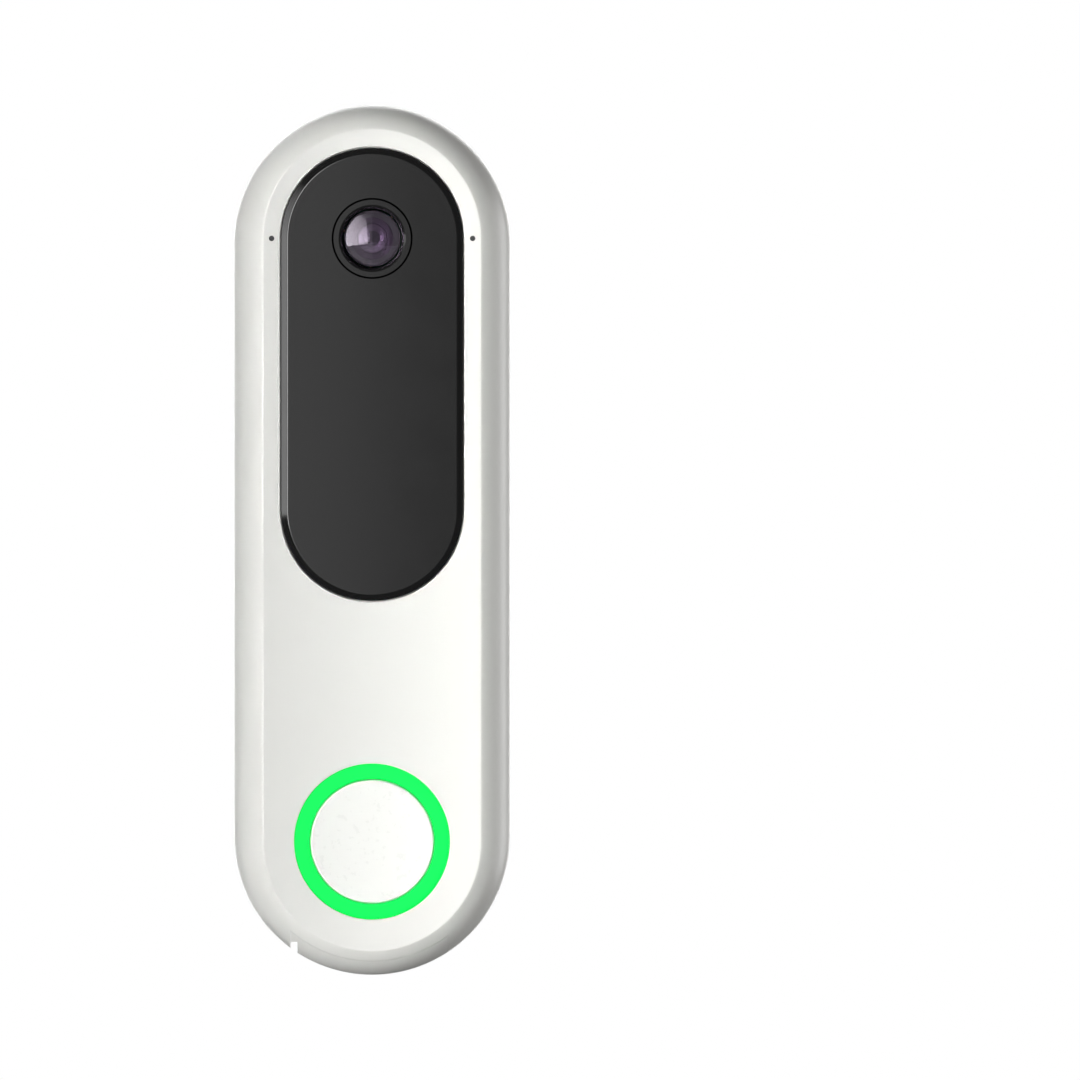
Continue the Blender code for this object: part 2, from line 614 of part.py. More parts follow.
def make_button():
    stem, hollow_radius, hollow_floor = 0.0018, 0.0088, 0.0250
    flange_front, edge = BUTTON_BACK + 0.0009, 0.0002
    cap = [
        (stem, BUTTON_BACK + 0.0005),
        (stem, hollow_floor),
        (hollow_radius, hollow_floor),
        (hollow_radius, BUTTON_BACK),
        (BUTTON_FLANGE_RADIUS, BUTTON_BACK),
        (BUTTON_FLANGE_RADIUS, flange_front),
        (BUTTON_RADIUS, flange_front),
        (BUTTON_RADIUS, PLATE_FRONT - edge),
        (BUTTON_RADIUS - edge, PLATE_FRONT),
    ]
    turned("button_cap", cap, 0.0, BUTTON_Z, "button_white", "button")
    plunger = [(PLUNGER_RADIUS, d) for d in (0.0207, BUTTON_BACK + 0.0004)]
    turned("switch_plunger", plunger, 0.0, BUTTON_Z, "chip_black", "button", steps=MEDIUM_STEPS)
    foot, top = BUTTON_BOARD[1] + TOUCH, BUTTON_BACK - TOUCH
    membrane = [(0.0090, foot), (0.0101, foot), (0.0100, top), (0.0091, top)]
    turned("button_membrane", membrane, 0.0, BUTTON_Z, "seal_rubber", ring=True)


def make_light_ring():
    ring = [
        (RING_INNER_RADIUS, RING_FLANGE[0]),
        (RING_FLANGE_RADIUS, RING_FLANGE[0]),
        (RING_FLANGE_RADIUS, RING_FLANGE[1]),
        (RING_OUTER_RADIUS, RING_FLANGE[1]),
        (RING_OUTER_RADIUS, PLATE_FRONT),
        (RING_INNER_RADIUS, PLATE_FRONT),
    ]
    turned("light_ring", ring, 0.0, BUTTON_Z, "ring_diffuser", ring=True)
    for i in range(LED_COUNT):
        angle = 2 * math.pi * (i + 0.5) / LED_COUNT
        x = LED_CIRCLE * math.cos(angle)
        z = BUTTON_Z + LED_CIRCLE * math.sin(angle)
        xs, zs = about(x, LED_WIDTH), about(z, LED_WIDTH)
        block(f"ring_led_{i + 1}", xs, on(BUTTON_BOARD, 0.0009), zs, "led_white")


def make_button_board():
    round_bar("button_board", BUTTON_BOARD_RADIUS, BUTTON_BOARD, 0.0, BUTTON_Z, "board_green")
    xs, zs = about(0.0, SWITCH_WIDTH), about(BUTTON_Z, SWITCH_WIDTH)
    switch = block("tact_switch", xs, on(BUTTON_BOARD, 0.0022), zs, "chip_black")
    radius, depths = PLUNGER_RADIUS + 2 * TOUCH, (BUTTON_BOARD[1] + 3 * FIT, RING_FLANGE[0])
    cut(switch, round_bar("plunger_hole", radius, depths, 0.0, BUTTON_Z, steps=MEDIUM_STEPS))


# ---- Electronics


def make_main_board():
    block("main_board", about(0.0, MAIN_WIDTH), MAIN_BOARD, MAIN_BOARD_Z, "board_green")
    block("processor", about(0.0, 0.0120), on(MAIN_BOARD, 0.0012), (0.0200, 0.0320), "chip_black")
    shield_zs = (-0.0270, -0.0050)
    shield = block("radio_shield", about(0.0, 0.0160), on(MAIN_BOARD, 0.0022), shield_zs, "bright_metal")
    add_bevel(shield, 0.0004)
    base, brim = on(MAIN_BOARD, 0.0007)
    can = [(0.0046, base), (0.0046, brim), (0.0040, brim), (0.0040, brim + 0.0035), (0.0036, brim + 0.0039)]
    turned("motion_sensor", can, 0.0, MOTION_SENSOR_Z, "bright_metal", steps=MEDIUM_STEPS)
    block("radio_antenna", about(0.0, 0.0170), (0.0055, 0.0058), (0.0560, 0.0665), "ribbon_film")


def make_battery():
    pack = block("battery_pack", about(0.0, MAIN_WIDTH), BATTERY, BATTERY_Z, "battery_wrap")
    add_bevel(pack, 0.0014)
    block("battery_socket", (-0.0090, -0.0030), on(MAIN_BOARD, 0.0025), (0.0335, 0.0355), "led_white")
    route = [(0.0100, 0.0373), (0.0102, 0.0386), (0.0120, 0.0396), (0.0145, 0.0397)]
    route += [(0.0168, 0.0390), (0.0176, 0.0373), (0.0176, 0.0357)]
    curve = bpy.data.curves.new("battery_lead", "CURVE")
    curve.dimensions = "3D"
    curve.bevel_depth = 0.0007
    curve.bevel_resolution = 2
    curve.use_fill_caps = True
    spline = curve.splines.new("POLY")
    spline.points.add(len(route) - 1)
    for point, (depth, z) in zip(spline.points, route):
        point.co = (*at(-0.0060, depth, z), 1.0)
    curve.materials.append(materials["lead_red"])
    lead = bpy.data.objects.new("battery_lead", curve)
    bpy.context.scene.collection.objects.link(lead)
    lead.parent = bodies["doorbell"]


def make_ribbons():
    """Each lies flat on one board, bends to the other board's level, and lies flat on that."""
    lift = TOUCH / 2 + RIBBON_THICKNESS
    on_main, on_camera, on_usb = (board[1] + lift for board in (MAIN_BOARD, CAMERA_BOARD, USB_BOARD))
    behind_button = BUTTON_BOARD[0] - lift
    camera_run = [(on_camera, 0.0435), (on_camera, 0.0412), (0.0161, 0.0395)]
    ribbon("camera_ribbon", (0.0015, 0.0085), camera_run + [(on_main, 0.0375), (on_main, 0.0326)])
    button_run = [(behind_button, -0.0430), (behind_button, -0.0385), (0.0172, -0.0365)]
    ribbon("button_ribbon", (-0.0040, 0.0035), button_run + [(on_main, -0.0335), (on_main, -0.0290)])
    usb_run = [(on_usb, -0.0600), (on_usb, -0.0400), (on_main, -0.0350), (on_main, -0.0310)]
    ribbon("usb_ribbon", (0.0046, 0.0073), usb_run)


def make_speaker():
    back, front = SPEAKER_X
    outer, inner = SPEAKER_HALF_DEPTH, SPEAKER_HALF_DEPTH - 0.0008
    shape = [(0.0040, back), (outer, back + 0.0018), (outer, front), (inner, front)]
    cone = [(0.0036, front - 0.0005), (0.0016, front - 0.0012)]
    loft("speaker", [speaker_ring(w, x) for w, x in shape + cone], "black_plastic")
    low, high = front + TOUCH, front + 5 * TOUCH
    gasket = [(inner, low), (outer, low), (outer, high), (inner, high)]
    loft("speaker_gasket", [speaker_ring(w, x) for w, x in gasket], "seal_rubber", closed=True)


def speaker_ring(half_width, x):
    outline = stadium(half_width, *SPEAKER_Z, 0.0, SMALL_ARC_STEPS)
    return [at(x, SPEAKER_DEPTH + p.x, p.z) for p in outline]


# ---- Underside


def make_usb():
    block("usb_board", about(0.0, 0.0150), USB_BOARD, (-0.0656, -0.0580), "board_green")
    inner_end, end = -0.0635, -0.0625
    shape = [(0.0, inner_end), (0.0, USB_MOUTH_Z), (FIT, USB_MOUTH_Z), (FIT, end)]
    socket = loft("usb_socket", [usb_ring(grow, z) for grow, z in shape], "bright_metal")
    blade_zs = (USB_MOUTH_Z + 0.0010, (inner_end + end) / 2)
    join(socket, block("usb_blade", about(USB_X, 0.0064), about(PORT_DEPTH, 0.0007), blade_zs))


def usb_ring(grow, z):
    outline = stadium(USB_RADIUS + grow, USB_REACH, -USB_REACH, 0.0, SMALL_ARC_STEPS)
    return [at(USB_X + p.z, PORT_DEPTH + p.x, z) for p in outline]


def make_reset():
    block("reset_switch", about(RESET_X, 0.0032), (0.0116, 0.0147), (-0.0649, -0.0620), "chip_black")
    face, seat, top = -0.0690, -0.0659, -0.0655
    shape = [(0.00095, face), (0.00115, face + 2 * TOUCH), (0.00115, seat)]
    shape += [(0.00155, seat), (0.00155, top), (0.0008, top), (0.0008, top + TOUCH)]
    loft("reset_button", [level_circle(r, RESET_X, PORT_DEPTH, z) for r, z in shape], "chip_black", "reset")


def make_flap():
    """The flap is the part of the case's own outer shape that fills its pocket."""
    flap = loft("port_flap", [body_outline(0.0, FLAP_BACK)] + shoulder(), "flap_rubber", "flap")
    depths = (FLAP_BACK - OVERCUT, PANEL_FRONT)
    outlines = [pocket_outline(FLAP_LEFT, FLAP_RIGHT, FLAP_INNER_RADIUS, d) for d in depths]
    combine(flap, "INTERSECT", loft("flap_reach", outlines))
    join(flap, block("flap_plug", about(USB_X, 0.0076), about(PORT_DEPTH, 0.0026), (-0.0709, -0.06995)))
    relief_x, relief_z = HINGE_RELIEF
    cut(flap, block("hinge_relief", (relief_x, POCKET_RIGHT), depths, (relief_z, relief_z + 3 * OVERCUT)))


def main():
    clear_scene()
    make_materials()
    make_bodies()
    make_bracket()
    make_tongue()
    make_rear_shell()
    make_seal()
    make_front_shell()
    make_case_screws()
    make_panel()
    make_camera()
    make_infrared()
    make_microphones()
    make_button()
    make_light_ring()
    make_button_board()
    make_main_board()
    make_battery()
    make_ribbons()
    make_speaker()
    make_usb()
    make_reset()
    make_flap()


main()
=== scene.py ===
"""Looks of a battery video doorbell on its wall bracket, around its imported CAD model.

Units are metres. X is to the right, Z is up, and the wall is the plane Y = 0. A "depth" is a distance
from the wall, so a point at depth d has Y = -d. The named dimensions repeat the CAD's own, apart from the
ones under "Only here". A pair of depths is (back, front), and a pair of heights is (low, high) unless it
names two places.
"""

import math

import bmesh
import bpy
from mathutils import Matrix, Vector


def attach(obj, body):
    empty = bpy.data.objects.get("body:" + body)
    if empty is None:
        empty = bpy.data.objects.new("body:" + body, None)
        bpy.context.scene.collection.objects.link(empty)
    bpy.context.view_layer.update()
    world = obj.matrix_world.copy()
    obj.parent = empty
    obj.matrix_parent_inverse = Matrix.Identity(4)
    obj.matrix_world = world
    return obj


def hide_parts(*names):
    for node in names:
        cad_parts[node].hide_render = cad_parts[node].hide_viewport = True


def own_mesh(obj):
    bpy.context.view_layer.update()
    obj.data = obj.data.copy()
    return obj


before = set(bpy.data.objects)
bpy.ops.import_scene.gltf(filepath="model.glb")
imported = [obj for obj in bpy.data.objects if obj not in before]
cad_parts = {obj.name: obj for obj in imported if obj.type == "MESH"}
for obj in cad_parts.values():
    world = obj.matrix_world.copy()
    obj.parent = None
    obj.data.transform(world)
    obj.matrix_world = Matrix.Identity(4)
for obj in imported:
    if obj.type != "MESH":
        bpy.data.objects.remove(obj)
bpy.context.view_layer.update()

# ---- The case, as in the CAD
BODY_HALF_WIDTH = 0.0230
BODY_ARC_Z = 0.0495
PLATE_HALF_WIDTH = 0.01814
PLATE_ARC_Z = 0.0504
WALL = 0.0020
CAVITY_BOTTOM_Z = -0.0465
BRACKET_FRONT = 0.0029
CASE_BACK = 0.0033
CASE_FLOOR = 0.0053
REAR_LIP = 0.0175
FRONT_LIP = 0.0177
SHOULDER_START = 0.0182
PLATE_BACK = 0.0242
PLATE_FRONT = 0.0266
SHOULDER_ANGLE = math.radians(60)
BACK_ROUND = 0.0010
LINER = ((0.0186, 0.0499, -0.0480, PLATE_BACK), (0.0200, 0.0498, -0.0473, 0.0225))  # inside the shoulder
LENS_WINDOW_RADIUS = 0.0057
SENSOR_WINDOW_RADIUS = 0.0050
INFRARED_WINDOW_RADIUS = 0.0022

# ---- The panel, the camera and the microphone holes
PANEL_HALF_WIDTH = 0.01515
PANEL_TOP_Z = 0.05025
PANEL_BOTTOM_Z = 0.0050
PANEL_SEAT = 0.0252
PANEL_BACK = 0.02555
PANEL_EDGE = 0.0267
PANEL_FRONT = 0.0274
PANEL_CHAMFER = 0.0011
CAMERA_Z = 0.0503
BEZEL_HOLE_RADIUS = 0.00675
BEZEL_RADIUS = 0.00655
BEZEL_BORE = 0.00495
BEZEL_FLAT = 0.0056
LENS_RADIUS = 0.00475
BARREL_BORE = 0.0042
BARREL = (0.0166, 0.0257)
IRIS_RADII = (0.0012, 0.0041)
IRIS = (0.0214, 0.0218)
MIC_X = 0.01677
MIC_HOLE_RADIUS = 0.00045
MICROPHONE = (0.0222, 0.0231)
MIC_GASKET_BACK = 0.0232
MIC_GASKET_RADII = (0.0006, 0.0017)
MOTION_SENSOR_Z = 0.0080
IR_LED_X = 0.0098

# ---- The button and its light ring
BUTTON_Z = -0.0503
BUTTON_RADIUS = 0.01025
BUTTON_FLANGE_RADIUS = 0.0113
BUTTON_BACK = 0.0216
RING_INNER_RADIUS = 0.01045
RING_OUTER_RADIUS = 0.0128
RING_HOLE_RADIUS = 0.0130
RING_FLANGE_RADIUS = 0.0139
RING_FLANGE = (0.0229, 0.0239)

# ---- The flap, the charging socket and the reset button
POCKET_RADIUS = 0.0207
POCKET_BACK = 0.0044
POCKET_RIGHT = 0.01270
NOTCH_LEFT = -0.01360
FLAP_LEFT = -0.01245
FLAP_BACK = 0.0046
HINGE_RELIEF = (0.0110, -0.0669)
FLAP_PLUG = (0.0076, 0.0026)
FLAP_PLUG_Z = (-0.0709, -0.06995)
PORT_DEPTH = 0.0131
USB_X = 0.0015
USB_MOUTH_Z = -0.0693
USB_RADIUS = 0.00128
USB_REACH = 0.0029
USB_OPENING = (0.0098, 0.0038)
RESET_X = -0.0056
RESET_OPENING_RADIUS = 0.00135
UNDERSIDE = (-0.0720, -0.0660)

# ---- The bracket, its hooks and its snap tongue
BRACKET_HALF_WIDTH = 0.0210
SLOT_Z = (0.0600, -0.0600)
SLOT_RADIUS = 0.0023
SLOT_HEAD_RADIUS = 0.0043
SLOT_HEAD_SEAT = 0.0014
SLOT_REACH = 0.0023
BACK_RECESS = (0.0105, 0.0300, 0.0190, 0.0015)
HOOK_Z = (0.0460, -0.0440)
HOOK_HALF_WIDTH = 0.0065
HOOK_STEM = 0.0018
HOOK_FINGER = 0.0050
HOOK = (0.0049, 0.0062)
HOOK_LIP = 0.0047
HOOK_BLOCK_FRONT = 0.0077
LIFT = 0.0060
TONGUE = (0.0017, 0.0029)
TONGUE_Z = (-0.0260, -0.0100)
TONGUE_HALF_WIDTH = 0.0040
CATCH_RAMP_Z = (-0.0180, -0.0110)
CATCH_FRONT = 0.0042
CATCH_RECESS = 0.0045
CATCH_RECESS_Z = -0.0163

# ---- Screws and grille
SCREW_X_Z = ((0.0120, 0.0620), (0.0182, -0.0050), (0.0120, -0.0596))
SCREWS = [(side * x, z) for x, z in SCREW_X_Z for side in (-1, 1)]
BOSS_RADIUS = 0.0024
BOSS_BACK = 0.0056
PILOT_RADIUS = 0.0011
PILOT_END = 0.0130
SCREW_HEAD = (0.0034, 0.0046)
SCREW_HEAD_RADIUS = 0.0019
SHANK_RADIUS = 0.0010
SPEAKER_DEPTH = 0.0115
SPEAKER_HALF_DEPTH = 0.0052
SPEAKER_X = (0.0154, 0.0203)
SPEAKER_Z = (-0.0252, -0.0408)
GRILLE_SLOTS = 7
GRILLE_PITCH = 0.0030
GRILLE_SLOT_RADIUS = 0.0006
GRILLE_REACH = (0.0034, 0.0024)
SEAL_HALF_WIDTHS = (0.0217, 0.0223)
SEAL = (0.0168, 0.0176)
SEAL_BOTTOM_Z = -0.0468

# ---- Boards, the battery and what stands on them
MAIN_BOARD = (0.0150, 0.0162)
MAIN_BOARD_Z = (-0.0340, 0.0360)
MAIN_WIDTH = 0.0290
CAMERA_BOARD = (0.0146, 0.0156)
CAMERA_BOARD_Z = (0.0413, 0.0592)
CAMERA_BOARD_WIDTH = 0.0240
IR_BOARD = (0.0218, 0.0226)
IR_BOARD_SIZE = (0.0256, 0.0110)
USB_BOARD = (0.0148, 0.0158)
USB_BOARD_Z = (-0.0656, -0.0580)
USB_BOARD_WIDTH = 0.0150
BUTTON_BOARD = (0.0180, 0.0190)
BUTTON_BOARD_RADIUS = 0.0126
BATTERY = (0.0056, 0.0142)
BATTERY_Z = (-0.0320, 0.0370)
LED_COUNT = 6
LED_CIRCLE = 0.0114
LED_WIDTH = 0.0014
SWITCH_WIDTH = 0.0060
PLUNGER_RADIUS = 0.0017

# ---- Gaps
TOUCH = 0.0001
FIT = 0.0003
OVERCUT = 0.0020  # how far a cutter runs past what it cuts

# ---- Only here: where the look differs from the CAD solids
FLAP_SEAM = 0.00006
NOTCH_TOP = -0.0670
RELIEF_FRONT = 0.0235  # a soft skin is left over the hinge relief
# the bezel's black foot is painted shade: a dark sheet under the panel that blacks out the gap round the
# bezel
BEZEL_SHADE_FOOT_RADIUS = 0.0080
FRONT_LENS = (0.0268, (0.0258, 0.0261), 0.0272)  # back tip, both sides of the edge, front tip
REAR_LENS = (0.0236, (0.0222, 0.0226), 0.0241)

# ---- Fineness of the meshes
ARC_STEPS = 72  # straight pieces in a half circle
ROUND_STEPS = 128  # and in a full circle
SMALL_STEPS = 32
SHOULDER_STEPS = 16
EDGE = 0.00012  # radius of a rounded moulded edge
EDGE_STEPS = 3
BOARD_EDGE = 0.0002
SHARP_ANGLE = math.radians(32)

# ---- Camera and lights. The view is straight from the front, with the doorbell left of the middle
VIEW_WIDTH = 0.18013
VIEW_X = 0.0280
VIEW_DISTANCE = 1.0
AMBIENT = 0.10
SOFTBOX = (0.4, 0.6)
WHITE = (1.0, 1.0, 1.0, 1.0)


# ---- Outlines, each a list of points


def at(x, depth, z):
    return Vector((x, -depth, z))


def about(centre, width):
    return centre - width / 2, centre + width / 2


def half_turn(steps):
    return [math.pi * i / steps for i in range(steps + 1)]


def full_turn(steps):
    return [2 * math.pi * i / steps for i in range(steps)]


def stadium(half_width, top, bottom, depth, steps=ARC_STEPS):
    """Two half circles, about the points (0, top) and (0, bottom), and the straight sides between them."""
    points = []
    for centre, start in ((top, 0.0), (bottom, math.pi)):
        for i in range(steps + 1):
            angle = start + math.pi * i / steps
            points.append(at(half_width * math.cos(angle), depth, centre + half_width * math.sin(angle)))
    return points


def circle(radius, x, z, depth, steps=ROUND_STEPS):
    return [at(x + radius * math.cos(a), depth, z + radius * math.sin(a)) for a in full_turn(steps)]


def level_circle(radius, x, depth, z, steps=SMALL_STEPS):
    """A circle that lies flat, for pieces that stand along Z."""
    return [at(x + radius * math.cos(a), depth + radius * math.sin(a), z) for a in full_turn(steps)]


def rectangle(xs, zs, depth):
    corners = ((xs[0], zs[0]), (xs[1], zs[0]), (xs[1], zs[1]), (xs[0], zs[1]))
    return [at(x, depth, z) for x, z in corners]


def body_outline(inset, depth):
    return stadium(BODY_HALF_WIDTH - inset, BODY_ARC_Z, -BODY_ARC_Z, depth)


def cavity(depth):
    return stadium(BODY_HALF_WIDTH - WALL, BODY_ARC_Z, CAVITY_BOTTOM_Z, depth)


def shoulder_ring(share):
    """The case's outline at a share of the way up its shoulder: 0 at the side wall, 1 at the plate."""
    angle = share * SHOULDER_ANGLE
    inset = (1 - math.cos(angle)) / (1 - math.cos(SHOULDER_ANGLE))
    rise = math.sin(angle) / math.sin(SHOULDER_ANGLE)
    half_width = BODY_HALF_WIDTH + inset * (PLATE_HALF_WIDTH - BODY_HALF_WIDTH)
    arc_z = BODY_ARC_Z + inset * (PLATE_ARC_Z - BODY_ARC_Z)
    return stadium(half_width, arc_z, -arc_z, SHOULDER_START + rise * (PLATE_FRONT - SHOULDER_START))


def shoulder():
    """The shoulder, with its crease at the plate a little rounded."""
    crease = 0.015
    rings = [shoulder_ring(i / SHOULDER_STEPS) for i in range(SHOULDER_STEPS)]
    rings.append(shoulder_ring(1 - crease))
    rings.append(stadium(PLATE_HALF_WIDTH - EDGE, PLATE_ARC_Z, -PLATE_ARC_Z, PLATE_FRONT))
    return rings


def panel_outline(inset, depth):
    return stadium(PANEL_HALF_WIDTH - inset, PANEL_TOP_Z, PANEL_BOTTOM_Z, depth)


def seal_outline(half_width, depth):
    return stadium(half_width, BODY_ARC_Z, SEAL_BOTTOM_Z, depth)


def pocket_outline(left, right, radius, depth, steps=ARC_STEPS // 2):
    """The area below a circle about the lower end arc's centre, between two vertical lines."""
    first = math.acos(right / radius)
    last = math.acos(left / radius)
    turns = [-(first + (last - first) * i / steps) for i in range(steps + 1)]
    points = [at(radius * math.cos(a), depth, -BODY_ARC_Z + radius * math.sin(a)) for a in turns]
    below = -BODY_ARC_Z - BODY_HALF_WIDTH - OVERCUT
    return points + [at(left, depth, below), at(right, depth, below)]


def quarter(radius, steps=EDGE_STEPS):
    """A rounded edge as (inward, upward) steps, from the side face to the end face."""
    turns = [math.pi / 2 * i / steps for i in range(steps + 1)]
    return [(radius * (1 - math.cos(a)), radius * math.sin(a)) for a in turns]


def mouth(floor, face, radius=EDGE):
    """A cutter's (widening, depth) steps: straight from the floor, then flared to round the hole's edge."""
    way = 1 if face > floor else -1
    flare = [(inward, face - way * (radius - up)) for inward, up in quarter(radius)]
    return [(0.0, floor)] + flare + [(radius, face + way * OVERCUT)]


# ---- Meshes. Each is made in world coordinates, with its object at the origin


def finish(name, bm):
    bmesh.ops.recalc_face_normals(bm, faces=bm.faces)
    if bm.calc_volume(signed=True) < 0:
        bmesh.ops.reverse_faces(bm, faces=bm.faces)
    mesh = bpy.data.meshes.new(name)
    bm.to_mesh(mesh)
    bm.free()
    obj = bpy.data.objects.new(name, mesh)
    bpy.context.scene.collection.objects.link(obj)
    return obj


def loft(name, rings, closed=False):
    """A skin over rings of equal length, with a cap at each end, or joined last to first when closed."""
    bm = bmesh.new()
    rows = [[bm.verts.new(p) for p in ring] for ring in rings]
    pairs = list(zip(rows, rows[1:]))
    if closed:
        pairs.append((rows[-1], rows[0]))
    else:
        bm.faces.new(rows[0])
        bm.faces.new(rows[-1])
    count = len(rings[0])
    for low, high in pairs:
        for i in range(count):
            j = (i + 1) % count
            bm.faces.new((low[i], low[j], high[j], high[i]))
    return finish(name, bm)


def block(name, xs, depths, zs):
    return loft(name, [rectangle(xs, zs, d) for d in depths])


def turned(name, profile, x, z, steps=ROUND_STEPS, ring=False):
    """A turned piece from (radius, depth) points. A ring's profile is a closed loop."""
    return loft(name, [circle(r, x, z, d, steps) for r, d in profile], closed=ring)


def round_bar(name, radius, depths, x, z, steps=ROUND_STEPS):
    return turned(name, [(radius, d) for d in depths], x, z, steps)


def prism(name, outline, xs):
    """An outline of (depth, z) points, pushed along X."""
    return loft(name, [[at(x, d, z) for d, z in outline] for x in xs])


def combine(target, operation, *tools):
    for tool in tools:
        boolean = target.modifiers.new(tool.name, "BOOLEAN")
        boolean.operation = operation
        boolean.object = tool
        boolean.solver = "EXACT"


def cut(target, *tools):
    combine(target, "DIFFERENCE", *tools)


def join(target, *tools):
    combine(target, "UNION", *tools)


def add_bevel(obj, width, segments=2, angle=40):
    bevel = obj.modifiers.new("edges", "BEVEL")
    bevel.width = width
    bevel.segments = segments
    bevel.limit_method = "ANGLE"
    bevel.angle_limit = math.radians(angle)


def bake(obj):
    """Turns an object's modifiers into its mesh, and removes the cutters that they used."""
    tools = [m.object for m in obj.modifiers if m.type == "BOOLEAN"]
    depsgraph = bpy.context.evaluated_depsgraph_get()
    obj.data = bpy.data.meshes.new_from_object(obj.evaluated_get(depsgraph))
    obj.modifiers.clear()
    for tool in tools:
        bpy.data.objects.remove(tool)


def smooth(obj):
    """Smooth faces, sharp creases, and normals that follow the large faces."""
    obj.data.shade_smooth()
    obj.data.set_sharp_from_angle(angle=SHARP_ANGLE)
    weighted = obj.modifiers.new("normals", "WEIGHTED_NORMAL")
    weighted.keep_sharp = True
    bake(obj)


def coat(obj, finish_name):
    """Bakes a piece and gives it its finish."""
    bake(obj)
    obj.data.materials.clear()
    obj.data.materials.append(MATERIALS[finish_name])
    smooth(obj)
    return obj


def merge(target, *others):
    """Joins finished meshes into one piece, each with its own finish."""
    with bpy.context.temp_override(active_object=target, selected_editable_objects=[target, *others]):
        bpy.ops.object.join()
    return target


def place(obj, node, body="doorbell"):
    """Makes a piece stand for its CAD node on that node's body."""
    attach(obj, body)
    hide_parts(node)
    return obj


def dress(obj, node, slot, body="doorbell"):
    return place(coat(obj, slot), node, body)


def part_of(name, shape, slot, edge=0.00008):
    """A rounded block of (xs, depths, zs) in the finish of a slot, to be merged into a larger piece."""
    made = block(name, *shape)
    add_bevel(made, edge)
    return coat(made, slot)


# ---- Materials


class Finish:
    """A material in the making: its shader, and the patterns in object coordinates that vary it."""

    def __init__(self, name, colour, roughness, metallic=0.0, **constants):
        self.material = bpy.data.materials.new(name)
        self.material.use_nodes = True
        self.tree = self.material.node_tree
        self.shader = self.tree.nodes["Principled BSDF"]
        self.place = self.tree.nodes.new("ShaderNodeTexCoord").outputs["Object"]
        self.shader.inputs["Base Color"].default_value = (*colour, 1.0)
        self.shader.inputs["Roughness"].default_value = roughness
        self.shader.inputs["Metallic"].default_value = metallic
        for socket, value in constants.items():
            self.shader.inputs[socket.replace("_", " ")].default_value = value

    def node(self, kind, **settings):
        made = self.tree.nodes.new(kind)
        for name, value in settings.items():
            setattr(made, name, value)
        return made

    def link(self, output, socket):
        self.tree.links.new(output, socket)

    def stretched(self, scale):
        mapping = self.node("ShaderNodeMapping")
        mapping.inputs["Scale"].default_value = scale
        self.link(self.place, mapping.inputs["Vector"])
        return mapping.outputs["Vector"]

    def noise(self, size, detail=2.0, stretch=None):
        """Soft random patches of about this size, from 0 to 1."""
        made = self.node("ShaderNodeTexNoise")
        made.inputs["Scale"].default_value = 1 / size
        made.inputs["Detail"].default_value = detail
        self.link(self.stretched(stretch) if stretch else self.place, made.inputs["Vector"])
        return made.outputs["Fac"]

    def cells(self, size):
        """The distance from the middle of scattered cells of about this size."""
        made = self.node("ShaderNodeTexVoronoi")
        made.inputs["Scale"].default_value = 1 / size
        self.link(self.place, made.inputs["Vector"])
        return made.outputs["Distance"]

    def levels(self, pattern, low, high, out_low=0.0, out_high=1.0):
        """A stretch of a pattern, from low to high, spread over a new range."""
        made = self.node("ShaderNodeMapRange")
        self.link(pattern, made.inputs["Value"])
        for name, value in (("From Min", low), ("From Max", high), ("To Min", out_low), ("To Max", out_high)):
            made.inputs[name].default_value = value
        return made.outputs["Result"]

    def vary_colour(self, pattern, first, second):
        """Mixes the base colour between two, each a colour or another node's output."""
        made = self.node("ShaderNodeMix", data_type="RGBA")
        sockets = {s.identifier: s for s in made.inputs}
        for name, colour in (("A_Color", first), ("B_Color", second)):
            if isinstance(colour, tuple):
                sockets[name].default_value = (*colour, 1.0)
            else:
                self.link(colour, sockets[name])
        self.link(pattern, sockets["Factor_Float"])
        result = next(s for s in made.outputs if s.identifier == "Result_Color")
        self.link(result, self.shader.inputs["Base Color"])

    def vary_roughness(self, pattern, low, high):
        self.link(self.levels(pattern, 0.3, 0.7, low, high), self.shader.inputs["Roughness"])

    def glow(self, colour, strength):
        self.shader.inputs["Emission Color"].default_value = colour
        self.shader.inputs["Emission Strength"].default_value = strength

    def bump(self, pattern, height):
        made = self.node("ShaderNodeBump")
        made.inputs["Distance"].default_value = height
        self.link(pattern, made.inputs["Height"])
        self.link(made.outputs["Normal"], self.shader.inputs["Normal"])


def moulded(name, colour, shade, roughness, grain, height):
    """Moulded plastic: a fine spark-eroded grain, and slight unevenness of colour and gloss."""
    made = Finish(name, colour, roughness)
    made.vary_colour(made.noise(0.012), shade, colour)
    made.vary_roughness(made.noise(0.0009, 3.0), roughness - 0.04, roughness + 0.04)
    made.bump(made.noise(grain, 3.0), height)
    return made.material


def white_shell():
    return moulded("white_shell_satin", (0.84, 0.836, 0.798), (0.827, 0.823, 0.785), 0.36, 0.00022, 0.0000012)


def button_white():
    return moulded("button_white_satin", (0.95, 0.95, 0.91), (0.94, 0.94, 0.90), 0.30, 0.00022, 0.0000010)


def bracket_plastic():
    return moulded("bracket_matt", (0.74, 0.74, 0.72), (0.71, 0.71, 0.69), 0.58, 0.0003, 0.0000050)


def flap_rubber():
    return moulded("flap_soft_touch", (0.83, 0.826, 0.788), (0.817, 0.813, 0.775), 0.50, 0.00018, 0.0000012)


def black_plastic():
    return moulded("black_moulded", (0.016, 0.016, 0.017), (0.011, 0.011, 0.012), 0.42, 0.0002, 0.0000020)


def seal_rubber():
    return moulded("seal_matt_rubber", (0.055, 0.055, 0.055), (0.035, 0.035, 0.035), 0.78, 0.00015, 0.0000030)


